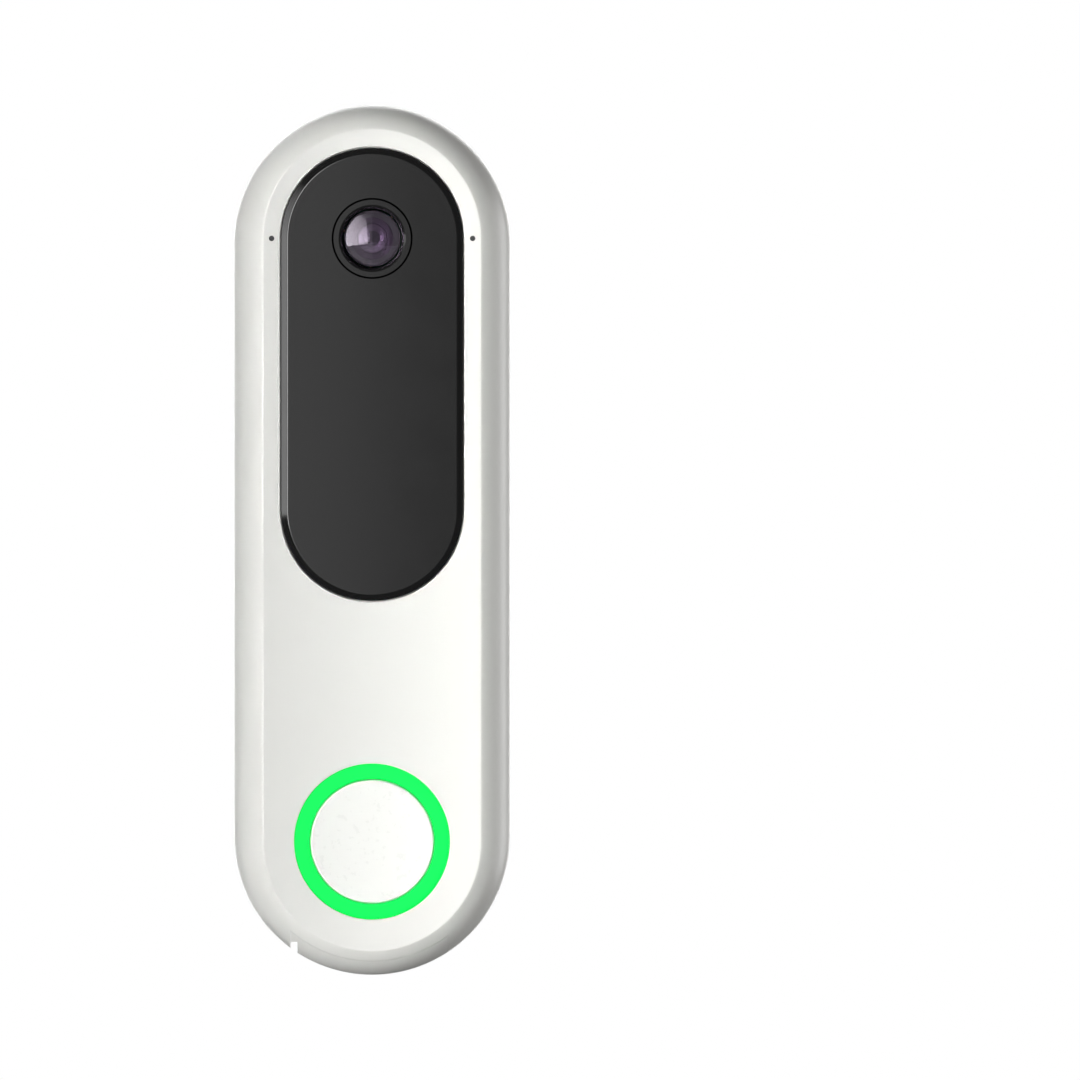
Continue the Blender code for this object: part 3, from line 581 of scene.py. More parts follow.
def chip_black():
    made = Finish("chip_epoxy", (0.03, 0.03, 0.032), 0.46)
    made.vary_colour(made.noise(0.00012, 4.0), (0.02, 0.02, 0.021), (0.05, 0.05, 0.052))
    made.vary_roughness(made.noise(0.0003), 0.40, 0.55)
    made.bump(made.noise(0.00006, 4.0), 0.0000020)
    return made.material


def black_panel():
    """Polished black glass, with faint smears in its gloss."""
    made = Finish("black_glass", (0.003, 0.003, 0.003), 0.12, Specular_IOR_Level=0.9)
    made.vary_colour(made.noise(0.02), (0.0025, 0.0025, 0.0025), (0.0035, 0.0035, 0.0035))
    made.vary_roughness(made.noise(0.006, 3.0), 0.11, 0.13)
    return made.material


def bezel_black():
    made = Finish("bezel_gloss", (0.003, 0.003, 0.003), 0.12, Specular_IOR_Level=0.9)
    made.vary_roughness(made.noise(0.0015, 3.0), 0.11, 0.13)
    return made.material


def iris_coating():
    """A dull violet metal on the iris, which stands in for the colour that a lens coating gives."""
    made = Finish("iris_violet_black", (0.09, 0.075, 0.09), 0.3, 1.0)
    made.vary_colour(made.noise(0.0006), (0.085, 0.070, 0.085), (0.095, 0.080, 0.095))
    made.vary_roughness(made.noise(0.0004), 0.27, 0.33)
    return made.material


def gilt():
    made = Finish("gilt_contact", (0.83, 0.60, 0.24), 0.24, 1.0)
    made.vary_colour(made.noise(0.0004), (0.78, 0.55, 0.21), (0.88, 0.66, 0.28))
    made.vary_roughness(made.noise(0.0002), 0.18, 0.32)
    return made.material


def lens_glass():
    """Coated glass: clear, with a violet tint in what it reflects."""
    made = Finish("coated_glass", (0.80, 0.74, 0.84), 0.02, Transmission_Weight=1.0, IOR=1.42)
    made.shader.inputs["Specular Tint"].default_value = (0.98, 0.91, 1.0, 1.0)
    made.vary_roughness(made.noise(0.002), 0.015, 0.03)
    return made.material


def ring_diffuser():
    """The light ring, lit evenly."""
    made = Finish("ring_lit", (0.0, 0.22, 0.03), 0.38, Specular_IOR_Level=0.1)
    made.glow((0.010, 1.0, 0.125, 1.0), 0.80)
    made.vary_colour(made.noise(0.003), (0.0, 0.20, 0.027), (0.0, 0.24, 0.033))
    made.vary_roughness(made.noise(0.0008), 0.34, 0.42)
    return made.material


def board_green():
    """Solder mask over copper tracks, with small plated holes."""
    made = Finish("circuit_board", (0.01, 0.12, 0.05), 0.38)
    tracks = made.node("ShaderNodeTexBrick", offset=0.37, squash=1.0)
    grid = {"Scale": 320.0, "Mortar Size": 0.012, "Mortar Smooth": 0.2, "Row Height": 0.35}
    for name, value in grid.items():
        tracks.inputs[name].default_value = value
    turned_place = made.node("ShaderNodeMapping")
    turned_place.inputs["Rotation"].default_value = (math.radians(90), 0.0, 0.0)
    made.link(made.place, turned_place.inputs["Vector"])
    made.link(turned_place.outputs["Vector"], tracks.inputs["Vector"])
    tracks.inputs["Color1"].default_value = (0.008, 0.10, 0.045, 1.0)
    tracks.inputs["Color2"].default_value = (0.010, 0.14, 0.060, 1.0)
    tracks.inputs["Mortar"].default_value = (0.030, 0.26, 0.11, 1.0)
    plated_hole = (0.75, 0.58, 0.28)
    made.vary_colour(made.levels(made.cells(0.0021), 0.09, 0.12), plated_hole, tracks.outputs["Color"])
    made.bump(tracks.outputs["Fac"], 0.00002)
    return made.material


def bright_metal():
    made = Finish("plated_steel", (0.74, 0.73, 0.71), 0.28, 1.0)
    made.vary_colour(made.noise(0.002, 4.0), (0.62, 0.61, 0.60), (0.80, 0.79, 0.77))
    made.vary_roughness(made.noise(0.0004, 2.0, (1.0, 1.0, 0.08)), 0.20, 0.36)
    made.bump(made.noise(0.0002, 2.0, (1.0, 1.0, 0.05)), 0.0000010)
    return made.material


def steel_screw():
    made = Finish("screw_steel", (0.56, 0.56, 0.57), 0.34, 1.0)
    made.vary_colour(made.noise(0.0008, 4.0), (0.42, 0.42, 0.43), (0.66, 0.66, 0.67))
    made.vary_roughness(made.noise(0.0005, 3.0), 0.26, 0.44)
    made.bump(made.noise(0.0002, 3.0), 0.0000015)
    return made.material


def ribbon_film():
    """Amber film over copper tracks that run along the cable."""
    made = Finish("polyimide_film", (0.55, 0.24, 0.03), 0.30)
    tracks = made.node("ShaderNodeTexWave", bands_direction="X")
    tracks.inputs["Scale"].default_value = 450.0
    made.link(made.place, tracks.inputs["Vector"])
    pattern = made.levels(tracks.outputs["Fac"], 0.35, 0.55)
    made.vary_colour(pattern, (0.42, 0.16, 0.02), (0.66, 0.33, 0.06))
    made.bump(pattern, 0.00001)
    return made.material


def battery_wrap():
    """Shrunk film, wrinkled a little along its length."""
    made = Finish("shrunk_film", (0.03, 0.09, 0.26), 0.32)
    made.vary_colour(made.noise(0.01), (0.025, 0.075, 0.22), (0.035, 0.105, 0.30))
    made.vary_roughness(made.noise(0.002, 3.0), 0.26, 0.40)
    made.bump(made.noise(0.004, 3.0, (1.0, 1.0, 0.3)), 0.00008)
    return made.material


def lead_red():
    return moulded("lead_insulation", (0.50, 0.025, 0.025), (0.42, 0.02, 0.02), 0.42, 0.0004, 0.0000040)


def led_white():
    made = Finish("led_ceramic", (0.86, 0.85, 0.74), 0.35)
    made.vary_colour(made.noise(0.0005), (0.88, 0.87, 0.80), (0.85, 0.80, 0.52))
    made.vary_roughness(made.noise(0.0003), 0.25, 0.45)
    return made.material


# The record's material slots, then three finishes that stand in a slot of another name
MATERIALS = {
    "white_shell": white_shell(),
    "bracket_plastic": bracket_plastic(),
    "black_panel": black_panel(),
    "black_plastic": black_plastic(),
    "lens_glass": lens_glass(),
    "ring_diffuser": ring_diffuser(),
    "button_white": button_white(),
    "seal_rubber": seal_rubber(),
    "flap_rubber": flap_rubber(),
    "board_green": board_green(),
    "chip_black": chip_black(),
    "bright_metal": bright_metal(),
    "steel_screw": steel_screw(),
    "ribbon_film": ribbon_film(),
    "battery_wrap": battery_wrap(),
    "lead_red": lead_red(),
    "led_white": led_white(),
    "bezel_black": bezel_black(),
    "iris_coating": iris_coating(),
    "gilt": gilt(),
}


# ---- Case


def make_front_shell():
    """The front cover, with bosses for the screws, the panel's seat and every opening in the plate."""
    inside = [stadium(*ring) for ring in LINER] + [cavity(SHOULDER_START), cavity(FRONT_LIP)]
    lip = [body_outline(EDGE - up, FRONT_LIP + inward) for inward, up in quarter(EDGE)]
    shell = loft("front_shell_fine", inside + lip + shoulder())
    boss, pilot = (BOSS_BACK, PLATE_BACK + FIT), (BOSS_BACK - OVERCUT, PILOT_END)
    for i, (x, z) in enumerate(SCREWS):
        join(shell, round_bar(f"boss_{i}", BOSS_RADIUS, boss, x, z, SMALL_STEPS))
    for i, (x, z) in enumerate(SCREWS):
        cut(shell, round_bar(f"pilot_{i}", PILOT_RADIUS, pilot, x, z, SMALL_STEPS))
    seat = [panel_outline(-2 * TOUCH - widening, depth) for widening, depth in mouth(PANEL_SEAT, PLATE_FRONT)]
    cut(shell, loft("panel_seat", seat))
    through = (PLATE_BACK - OVERCUT, PLATE_FRONT + OVERCUT)
    windows = [(LENS_WINDOW_RADIUS, 0.0, CAMERA_Z), (SENSOR_WINDOW_RADIUS, 0.0, MOTION_SENSOR_Z)]
    windows += [(INFRARED_WINDOW_RADIUS, side * IR_LED_X, CAMERA_Z) for side in (-1, 1)]
    for i, (radius, x, z) in enumerate(windows):
        cut(shell, round_bar(f"window_{i}", radius, through, x, z))
    for i, x in enumerate((-MIC_X, MIC_X)):
        hole = [(MIC_HOLE_RADIUS + w, d) for w, d in mouth(PLATE_BACK - OVERCUT, PLATE_FRONT, EDGE / 2)]
        cut(shell, turned(f"mic_hole_{i}", hole, x, CAMERA_Z, SMALL_STEPS))
    hole = [(RING_HOLE_RADIUS + w, d) for w, d in mouth(PLATE_BACK - OVERCUT, PLATE_FRONT)]
    cut(shell, turned("ring_hole", hole, 0.0, BUTTON_Z))
    flange_seat = (RING_FLANGE[0] - 2 * TOUCH, PLATE_BACK)
    cut(shell, round_bar("flange_seat", RING_FLANGE_RADIUS + 2 * TOUCH, flange_seat, 0.0, BUTTON_Z))
    cut(shell, *pocket_cutters("front_pocket"))
    dress(shell, "front_shell", "white_shell")


def pocket_cutters(name):
    """The flap's pocket, and the fingernail notch beside it, which is open right through to the back."""
    pocket_depths, notch_depths = (POCKET_BACK, PANEL_FRONT), (CASE_BACK - OVERCUT, POCKET_BACK + FIT)
    pocket = [pocket_outline(NOTCH_LEFT, POCKET_RIGHT, POCKET_RADIUS, d) for d in pocket_depths]
    notch = [pocket_outline(NOTCH_LEFT, FLAP_LEFT + FIT, POCKET_RADIUS, d) for d in notch_depths]
    return loft(name, pocket), loft(name + "_notch", notch)


def make_rear_shell():
    """The back of the case, with the seal's groove, hook pockets, screw seats, grille and port openings."""
    groove_inner, groove_outer = SEAL_HALF_WIDTHS[0] - TOUCH, SEAL_HALF_WIDTHS[1] + TOUCH
    groove_floor = SEAL[0] - TOUCH
    groove = [(groove_inner, REAR_LIP), (groove_inner, groove_floor)]
    groove += [(groove_outer, groove_floor), (groove_outer, REAR_LIP)]
    rings = [cavity(CASE_FLOOR), cavity(REAR_LIP)]
    rings += [seal_outline(w, d) for w, d in groove]
    rings += [body_outline(inward, REAR_LIP - EDGE + up) for inward, up in reversed(quarter(EDGE))]
    back = quarter(BACK_ROUND, 2 * EDGE_STEPS)
    rings += [body_outline(inward, CASE_BACK + BACK_ROUND - up) for inward, up in back]
    shell = loft("rear_shell_fine", rings)
    for i, z in enumerate(HOOK_Z):
        add_hook_pocket(shell, i, z)
    for i, (x, z) in enumerate(SCREWS):
        through = (HOOK_BLOCK_FRONT, CASE_BACK - OVERCUT)
        hole = round_bar(f"screw_hole_{i}", SHANK_RADIUS + FIT, through, x, z, SMALL_STEPS)
        seat = [(SCREW_HEAD_RADIUS + FIT + w, d) for w, d in mouth(SCREW_HEAD[1] + TOUCH, CASE_BACK)]
        cut(shell, hole, turned(f"screw_seat_{i}", seat, x, z, SMALL_STEPS))
    catch_xs, catch_zs = about(0.0, 2 * TONGUE_HALF_WIDTH + 4 * FIT), (CATCH_RECESS_Z, TONGUE_Z[1] + FIT)
    cut(shell, block("catch_recess", catch_xs, (CASE_BACK - OVERCUT, CATCH_RECESS), catch_zs))
    add_grille(shell)
    cut(shell, *pocket_cutters("rear_pocket"))
    usb_width, usb_height = USB_OPENING
    cut(shell, block("usb_opening", about(USB_X, usb_width), about(PORT_DEPTH, usb_height), UNDERSIDE))
    reset_hole = [level_circle(RESET_OPENING_RADIUS, RESET_X, PORT_DEPTH, z) for z in UNDERSIDE]
    cut(shell, loft("reset_opening", reset_hole))
    dress(shell, "rear_shell", "white_shell")


def add_hook_pocket(shell, index, z):
    """A raised block with a closed pocket, so that the hook holds the case without opening it."""
    half = HOOK_HALF_WIDTH + FIT
    low = z - LIFT - FIT
    tip = z + HOOK_STEM + HOOK_FINGER + FIT
    wall = 0.0015
    block_xs, block_zs = (-half - wall, half + wall), (low - wall, tip + wall)
    join(shell, block(f"hook_block_{index}", block_xs, (CASE_FLOOR - FIT, HOOK_BLOCK_FRONT), block_zs))
    hollow = block(f"hook_hollow_{index}", (-half, half), (HOOK_LIP, HOOK[1] + FIT), (low, tip))
    slot_depths, slot_zs = (CASE_BACK - OVERCUT, HOOK_LIP + FIT), (low, z + HOOK_STEM + 2 * TOUCH)
    cut(shell, hollow, block(f"hook_slot_{index}", (-half, half), slot_depths, slot_zs))


def add_grille(shell):
    """Round-ended slots through the right-hand wall, with rounded edges outside."""
    middle = (GRILLE_SLOTS - 1) / 2
    for i in range(GRILLE_SLOTS):
        z = sum(SPEAKER_Z) / 2 + (i - middle) * GRILLE_PITCH
        reach = GRILLE_REACH[0] if abs(i - middle) < middle else GRILLE_REACH[1]
        rings = []
        for widening, x in mouth(BODY_HALF_WIDTH - WALL - OVERCUT / 2, BODY_HALF_WIDTH):
            slot = stadium(GRILLE_SLOT_RADIUS + widening, reach, -reach, 0.0, SMALL_STEPS // 4)
            rings.append([at(x, SPEAKER_DEPTH + p.z, z + p.x) for p in slot])
        cut(shell, loft(f"grille_slot_{i}", rings))


def make_seal():
    (inner, outer), (low, high) = SEAL_HALF_WIDTHS, SEAL
    section = [(inner, low), (outer, low), (outer, high), (inner, high)]
    seal = loft("shell_seal_fine", [seal_outline(w, d) for w, d in section], closed=True)
    dress(seal, "shell_seal", "seal_rubber")


def make_flap():
    """The flap is the part of the case's own outer shape that fills its pocket, all but the nail notch."""
    flap = loft("port_flap_fine", [body_outline(0.0, FLAP_BACK)] + shoulder())
    depths = (FLAP_BACK - OVERCUT, PANEL_FRONT)
    ends = (NOTCH_LEFT + FLAP_SEAM, POCKET_RIGHT - FLAP_SEAM)
    outlines = [pocket_outline(*ends, POCKET_RADIUS + FLAP_SEAM, d) for d in depths]
    combine(flap, "INTERSECT", loft("flap_reach", outlines))
    notch_zs = (UNDERSIDE[0] - OVERCUT, NOTCH_TOP)
    cut(flap, block("nail_notch", (NOTCH_LEFT - OVERCUT, FLAP_LEFT), depths, notch_zs))
    relief_x, relief_z = HINGE_RELIEF
    relief_depths, relief_zs = (FLAP_BACK - OVERCUT, RELIEF_FRONT), (relief_z, relief_z + 3 * OVERCUT)
    cut(flap, block("hinge_relief", (relief_x, POCKET_RIGHT), relief_depths, relief_zs))
    bake(flap)
    add_bevel(flap, FLAP_SEAM)
    bake(flap)
    plug_width, plug_height = FLAP_PLUG
    join(flap, block("flap_plug", about(USB_X, plug_width), about(PORT_DEPTH, plug_height), FLAP_PLUG_Z))
    dress(flap, "port_flap", "flap_rubber", "flap")


def make_screws():
    """Pan heads with a cross recess, and threaded shanks."""
    back, front = SCREW_HEAD
    end, pitch = 0.0124, 0.0005
    for i, (x, z) in enumerate(SCREWS, 1):
        profile = [(0.0002, back), (0.0012, back), (SCREW_HEAD_RADIUS - 0.0003, back + 0.00008)]
        profile += [(SCREW_HEAD_RADIUS, back + 0.0004), (SCREW_HEAD_RADIUS, front), (SHANK_RADIUS, front)]
        threads = int((end - 0.0008 - front) / pitch)
        for turn in range(threads):
            start = front + turn * pitch
            profile += [(SHANK_RADIUS, start + pitch / 4), (SHANK_RADIUS - 0.0002, start + 3 * pitch / 4)]
        profile += [(SHANK_RADIUS - 0.0002, end - 0.0006), (0.0002, end)]
        screw = turned(f"case_screw_{i}_fine", profile, x, z, SMALL_STEPS)
        recess = (back - OVERCUT, back + 0.0007)
        long_side, short_side = 0.0020, 0.0004
        cut(screw, block(f"cross_a_{i}", about(x, long_side), recess, about(z, short_side)))
        cut(screw, block(f"cross_b_{i}", about(x, short_side), recess, about(z, long_side)))
        dress(screw, f"case_screw_{i}", "steel_screw")


# ---- Panel and camera


def make_panel():
    edge = [(0.0, PANEL_BACK), (0.0, PANEL_EDGE - TOUCH), (0.3 * TOUCH, PANEL_EDGE - 0.2 * TOUCH)]
    edge += [(0.82 * PANEL_CHAMFER, PANEL_FRONT - TOUCH), (0.89 * PANEL_CHAMFER, PANEL_FRONT - 0.4 * TOUCH)]
    edge += [(0.95 * PANEL_CHAMFER, PANEL_FRONT - 0.1 * TOUCH), (PANEL_CHAMFER, PANEL_FRONT)]
    panel = loft("lens_panel_fine", [panel_outline(inset, d) for inset, d in edge])
    through = (PANEL_BACK - OVERCUT, PANEL_FRONT + OVERCUT)
    cut(panel, round_bar("bezel_hole", BEZEL_HOLE_RADIUS, through, 0.0, CAMERA_Z))
    dress(panel, "lens_panel", "black_panel")


def make_bezel():
    """A flat black ring whose inner edge falls to the lens in two slopes, on a thin black foot under the
    panel. The foot is painted shade: a dark sheet that makes the gap round the ring look black.
    """
    front = PANEL_FRONT - TOUCH / 2
    outer = BEZEL_RADIUS - TOUCH
    shade_foot_back, shade_foot_front = PANEL_SEAT + TOUCH, PANEL_BACK - TOUCH / 2
    # the foot is painted shade, a black sheet where the gap round the ring would show the white seat
    profile = [(BEZEL_BORE, shade_foot_back), (BEZEL_SHADE_FOOT_RADIUS, shade_foot_back), (BEZEL_SHADE_FOOT_RADIUS, shade_foot_front)]
    profile += [(BEZEL_HOLE_RADIUS, shade_foot_front), (outer, shade_foot_front + 6 * TOUCH), (outer, front)]
    profile += [(BEZEL_FLAT, front), (BEZEL_FLAT - 0.0003, front - 0.0002)]
    profile += [(BEZEL_FLAT - 0.00035, front - 0.0004)]
    profile += [(BEZEL_BORE, front - 0.00085)]
    bezel = turned("lens_bezel_fine", profile, 0.0, CAMERA_Z, ring=True)
    place(coat(bezel, "bezel_black"), "lens_bezel")


def lens_profile(radius, back, edge, front, steps=16):
    """A domed lens as (radius, depth) points, from the middle of its back to the middle of its front."""
    tip = 0.00005
    shares = [i / steps for i in range(steps)]
    rear = [(max(radius * s, tip), back + (edge[0] - back) * s * s) for s in shares]
    face = [(max(radius * s, tip), front + (edge[1] - front) * s * s) for s in reversed(shares)]
    return rear + [(radius, edge[0]), (radius, edge[1])] + face


def make_lenses():
    """Two domed lenses, thin enough to show one clean reflection each."""
    lenses = {"lens_front": (LENS_RADIUS, FRONT_LENS), "lens_rear": (BARREL_BORE - 2 * TOUCH, REAR_LENS)}
    for node, (radius, shape) in lenses.items():
        lens = turned(node + "_fine", lens_profile(radius, *shape), 0.0, CAMERA_Z)
        dress(lens, node, "lens_glass")


def make_barrel():
    """The tube behind the lens, with black steps inside against stray light."""
    back, front = BARREL
    steps = 4
    step_depth, step_width = 0.00035, 0.00025
    profile = [(BARREL_BORE, back), (LENS_RADIUS, back)]
    profile += [(LENS_RADIUS, front - EDGE), (LENS_RADIUS - EDGE, front)]
    for i in range(steps):
        depth = front - i * step_depth
        profile += [(BARREL_BORE - i * step_width, depth), (BARREL_BORE - i * step_width, depth - step_depth)]
    profile.append((BARREL_BORE, front - steps * step_depth))
    barrel = turned("lens_barrel_fine", profile, 0.0, CAMERA_Z, ring=True)
    dress(barrel, "lens_barrel", "black_plastic")


def make_iris():
    """A disc round the pupil, whose front falls in shallow steps towards the opening."""
    (pupil, rim), (back, front) = IRIS_RADII, IRIS
    profile = [(pupil, back), (rim, back), (rim, front), (0.0024, front), (0.0023, front - TOUCH)]
    profile += [(pupil + 0.0002, front - TOUCH), (pupil, front - 2 * TOUCH)]
    iris = turned("lens_iris_fine", profile, 0.0, CAMERA_Z, ring=True)
    place(coat(iris, "iris_coating"), "lens_iris")


def make_mic_gaskets():
    """Rubber rings, each with a black plug of fine mesh that stands in the microphone's hole."""
    (hole, outer), back, front = MIC_GASKET_RADII, MIC_GASKET_BACK, PLATE_BACK - TOUCH
    rim, top = MIC_HOLE_RADIUS - TOUCH / 5, PLATE_FRONT - 2 * TOUCH
    ring = [(hole, back), (outer, back), (outer, front - TOUCH), (outer - TOUCH, front), (hole, front)]
    plug = [(TOUCH / 2, back + TOUCH), (hole, back + TOUCH), (hole, front), (rim, front), (rim, top)]
    plug += [(rim - TOUCH / 2, top), (rim - TOUCH, top - TOUCH / 2), (TOUCH / 2, top - TOUCH / 2)]
    for side, x in (("left", -MIC_X), ("right", MIC_X)):
        gasket = turned(f"mic_gasket_{side}_fine", ring, x, CAMERA_Z, SMALL_STEPS, True)
        mesh = turned(f"mic_mesh_{side}", plug, x, CAMERA_Z, SMALL_STEPS)
        merged = merge(coat(gasket, "seal_rubber"), coat(mesh, "black_plastic"))
        place(merged, f"mic_gasket_{side}")


# ---- Button and light ring


def make_button():
    """A cap with a flange that holds it in, hollow behind round the stem that presses the plunger."""
    stem, hollow_radius, hollow_floor = 0.0018, 0.0088, 0.0250
    stem_end, flange_front = BUTTON_BACK + 0.0005, BUTTON_BACK + 0.0009
    cap = [
        (stem, stem_end),
        (stem, hollow_floor),
        (hollow_radius, hollow_floor),
        (hollow_radius, BUTTON_BACK),
        (BUTTON_FLANGE_RADIUS, BUTTON_BACK),
        (BUTTON_FLANGE_RADIUS, flange_front),
        (BUTTON_RADIUS, flange_front),
    ]
    cap += [(BUTTON_RADIUS - inward, PLATE_FRONT - EDGE + up) for inward, up in quarter(EDGE)]
    cap += [(BUTTON_RADIUS - 4 * EDGE, PLATE_FRONT), (TOUCH, PLATE_FRONT)]
    button = turned("button_cap_fine", cap, 0.0, BUTTON_Z)
    dress(button, "button_cap", "button_white", "button")


def make_membrane():
    """A ring of soft rubber, waisted half way up."""
    foot, top = BUTTON_BOARD[1] + TOUCH, BUTTON_BACK - TOUCH
    waist = (foot + top) / 2
    outer = [(0.0101, foot), (0.0101, foot + TOUCH), (0.00985, waist), (0.0100, top - TOUCH), (0.0099, top)]
    inner = [(0.0092, top), (0.0091, top - TOUCH), (0.0093, waist), (0.0090, foot + TOUCH), (0.0090, foot)]
    membrane = turned("button_membrane_fine", outer + inner, 0.0, BUTTON_Z, ring=True)
    dress(membrane, "button_membrane", "seal_rubber")
    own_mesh(membrane)


def make_light_ring():
    """The lit ring, with a flange behind the plate."""
    (back, front), edge = RING_FLANGE, PLATE_FRONT - EDGE
    profile = [(RING_INNER_RADIUS, back), (RING_FLANGE_RADIUS, back)]
    profile += [(RING_FLANGE_RADIUS, front), (RING_OUTER_RADIUS, front)]
    profile += [(RING_OUTER_RADIUS - inward, edge + up) for inward, up in quarter(EDGE)]
    profile += [(RING_INNER_RADIUS + inward, edge + up) for inward, up in reversed(quarter(EDGE))]
    ring = turned("light_ring_fine", profile, 0.0, BUTTON_Z, ring=True)
    dress(ring, "light_ring", "ring_diffuser")


# ---- Bracket


def make_bracket():
    """The wall plate, with two hooks, two countersunk screw slots, the tongue's window and a back recess."""
    round_edge = 0.0005
    outline = [(EDGE, 0.0), (0.0, EDGE)]
    outline += [(inward, BRACKET_FRONT - round_edge + up) for inward, up in quarter(round_edge, 5)]
    rings = [stadium(BRACKET_HALF_WIDTH - inset, BODY_ARC_Z, -BODY_ARC_Z, d) for inset, d in outline]
    bracket = loft("wall_bracket_fine", rings)
    for i, z in enumerate(HOOK_Z):
        join(bracket, prism(f"hook_shape_{i}", hook_profile(z), (-HOOK_HALF_WIDTH, HOOK_HALF_WIDTH)))
    for i, z in enumerate(SLOT_Z):
        through = mouth(SLOT_HEAD_SEAT + OVERCUT, 0.0)
        cut(bracket, screw_slot(f"screw_slot_{i}", SLOT_RADIUS, z, through))
        cut(bracket, screw_slot(f"head_seat_{i}", SLOT_HEAD_RADIUS, z, mouth(SLOT_HEAD_SEAT, BRACKET_FRONT)))
    window = (TONGUE_Z[0] - FIT / 2, TONGUE_Z[1] + 4 * FIT)
    through = (-OVERCUT, BRACKET_FRONT + OVERCUT)
    cut(bracket, block("tongue_window", about(0.0, 2 * TONGUE_HALF_WIDTH + OVERCUT), through, window))
    half_width, top, bottom, depth = BACK_RECESS
    recess = [stadium(half_width + w, top, bottom, d) for w, d in mouth(depth, 0.0)]
    cut(bracket, loft("back_recess", recess))
    dress(bracket, "wall_bracket", "bracket_plastic", "bracket")


def hook_profile(z):
    """A hook that stands on the plate at height z and turns up, with a slanted lead at its tip."""
    root, (back, front), lead = BRACKET_FRONT - 0.0005, HOOK, 0.0006
    elbow, tip = z + HOOK_STEM, z + HOOK_STEM + HOOK_FINGER
    profile = [(root, z), (front - EDGE, z), (front, z + EDGE), (front, tip - lead)]
    profile += [(front - lead / 2, tip), (back + EDGE, tip), (back, tip - EDGE), (back, elbow), (root, elbow)]
    return profile


def screw_slot(name, radius, z, steps):
    ends = (z + SLOT_REACH, z - SLOT_REACH)
    rings = [stadium(radius + widening, *ends, depth, SMALL_STEPS // 2) for widening, depth in steps]
    return loft(name, rings)


def make_tongue():
    """A strip with a ramp and a catch, whose root stays at the bracket."""
    (back, front), (root, tip) = TONGUE, TONGUE_Z
    ramp_start, ramp_end = CATCH_RAMP_Z
    profile = [(back, root), (front, root), (front, ramp_start)]
    profile += [(CATCH_FRONT, ramp_end), (CATCH_FRONT, tip), (back, tip)]
    tongue = prism("snap_tongue_fine", profile, (-TONGUE_HALF_WIDTH, TONGUE_HALF_WIDTH))
    add_bevel(tongue, EDGE)
    dress(tongue, "snap_tongue", "bracket_plastic", "tongue")


# ---- Speaker, charging socket and reset button


def speaker_ring(half_width, x):
    outline = stadium(half_width, *SPEAKER_Z, 0.0, SMALL_STEPS)
    return [at(x, SPEAKER_DEPTH + p.x, p.z) for p in outline]


def make_speaker():
    """A basket with a half-round surround, a shallow cone and a dust cap."""
    back, front = SPEAKER_X
    outer = SPEAKER_HALF_DEPTH
    basket = [(0.0040, back), (outer, back + 0.0018), (outer, front - EDGE)]
    basket += [(outer - EDGE, front), (0.0046, front)]
    inner, outer_roll, roll_base, roll_height = 0.0032, 0.0044, front - 0.0006, 0.0005
    middle, radius = (inner + outer_roll) / 2, (outer_roll - inner) / 2
    roll = [(middle + radius * math.cos(a), roll_base + roll_height * math.sin(a)) for a in half_turn(8)]
    cone = [(0.0030, front - 0.0007), (0.0019, front - 0.0014), (0.0017, front - 0.0013)]
    cap = [(0.0012, front - 0.0010), (0.0006, front - 0.0008), (0.0001, front - 0.0008)]
    speaker = loft("speaker_fine", [speaker_ring(w, x) for w, x in basket + roll + cone + cap])
    dress(speaker, "speaker", "black_plastic")


def usb_ring(grow, z):
    outline = stadium(USB_RADIUS + grow, USB_REACH, -USB_REACH, 0.0, SMALL_STEPS // 2)
    return [at(USB_X + p.z, PORT_DEPTH + p.x, z) for p in outline]


def make_usb_socket():
    """A rolled steel shell round a black blade with two rows of gilt contacts."""
    inner_end, end, lip = -0.0635, -0.0625, FIT / 2
    mouth_ring = [(lip * (1 - math.cos(a)), USB_MOUTH_Z + lip * (1 - math.sin(a))) for a in half_turn(8)]
    shape = [(0.0, inner_end)] + mouth_ring + [(FIT, end)]
    shell = coat(loft("usb_socket_fine", [usb_ring(grow, z) for grow, z in shape]), "bright_metal")
    blade_width, blade_height = 0.0064, 0.0007
    blade_zs = (USB_MOUTH_Z + 0.0010, (inner_end + end) / 2)
    blade_shape = (about(USB_X, blade_width), about(PORT_DEPTH, blade_height), blade_zs)
    blade = part_of("usb_blade", blade_shape, "black_plastic")
    contacts = []
    count, pitch, contact_width, contact_height = 12, 0.0005, 0.00026, 0.00006
    contact_zs = (blade_zs[0] + 0.0004, blade_zs[0] + 0.0030)
    for side in (-1, 1):
        for i in range(count):
            xs = about(USB_X + (i - (count - 1) / 2) * pitch, contact_width)
            depths = about(PORT_DEPTH + side * blade_height / 2, contact_height)
            contacts.append(coat(block("contact", xs, depths, contact_zs), "gilt"))
    place(merge(shell, blade, *contacts), "usb_socket")


def make_reset_button():
    """A small pin whose face is dished for a paper clip, with a collar that holds it in."""
    face, seat, top = -0.0690, -0.0659, -0.0655
    radius, collar, stub = 0.00115, 0.00155, 0.0008
    shape = [(TOUCH, face + 0.00025), (0.0004, face + 0.00018), (0.0007, face + 0.00004), (stub, face)]
    shape += [(radius - inward, face + EDGE - up) for inward, up in reversed(quarter(EDGE))]
    shape += [(radius, seat), (collar, seat), (collar, top), (stub, top), (stub, top + TOUCH)]
    button = loft("reset_button_fine", [level_circle(r, RESET_X, PORT_DEPTH, z) for r, z in shape])
    dress(button, "reset_button", "chip_black", "reset")


# ---- Boards and electronics


def on(board, height):
    """The depths of a piece that stands on the front of a board."""
    return board[1] + TOUCH, board[1] + TOUCH + height


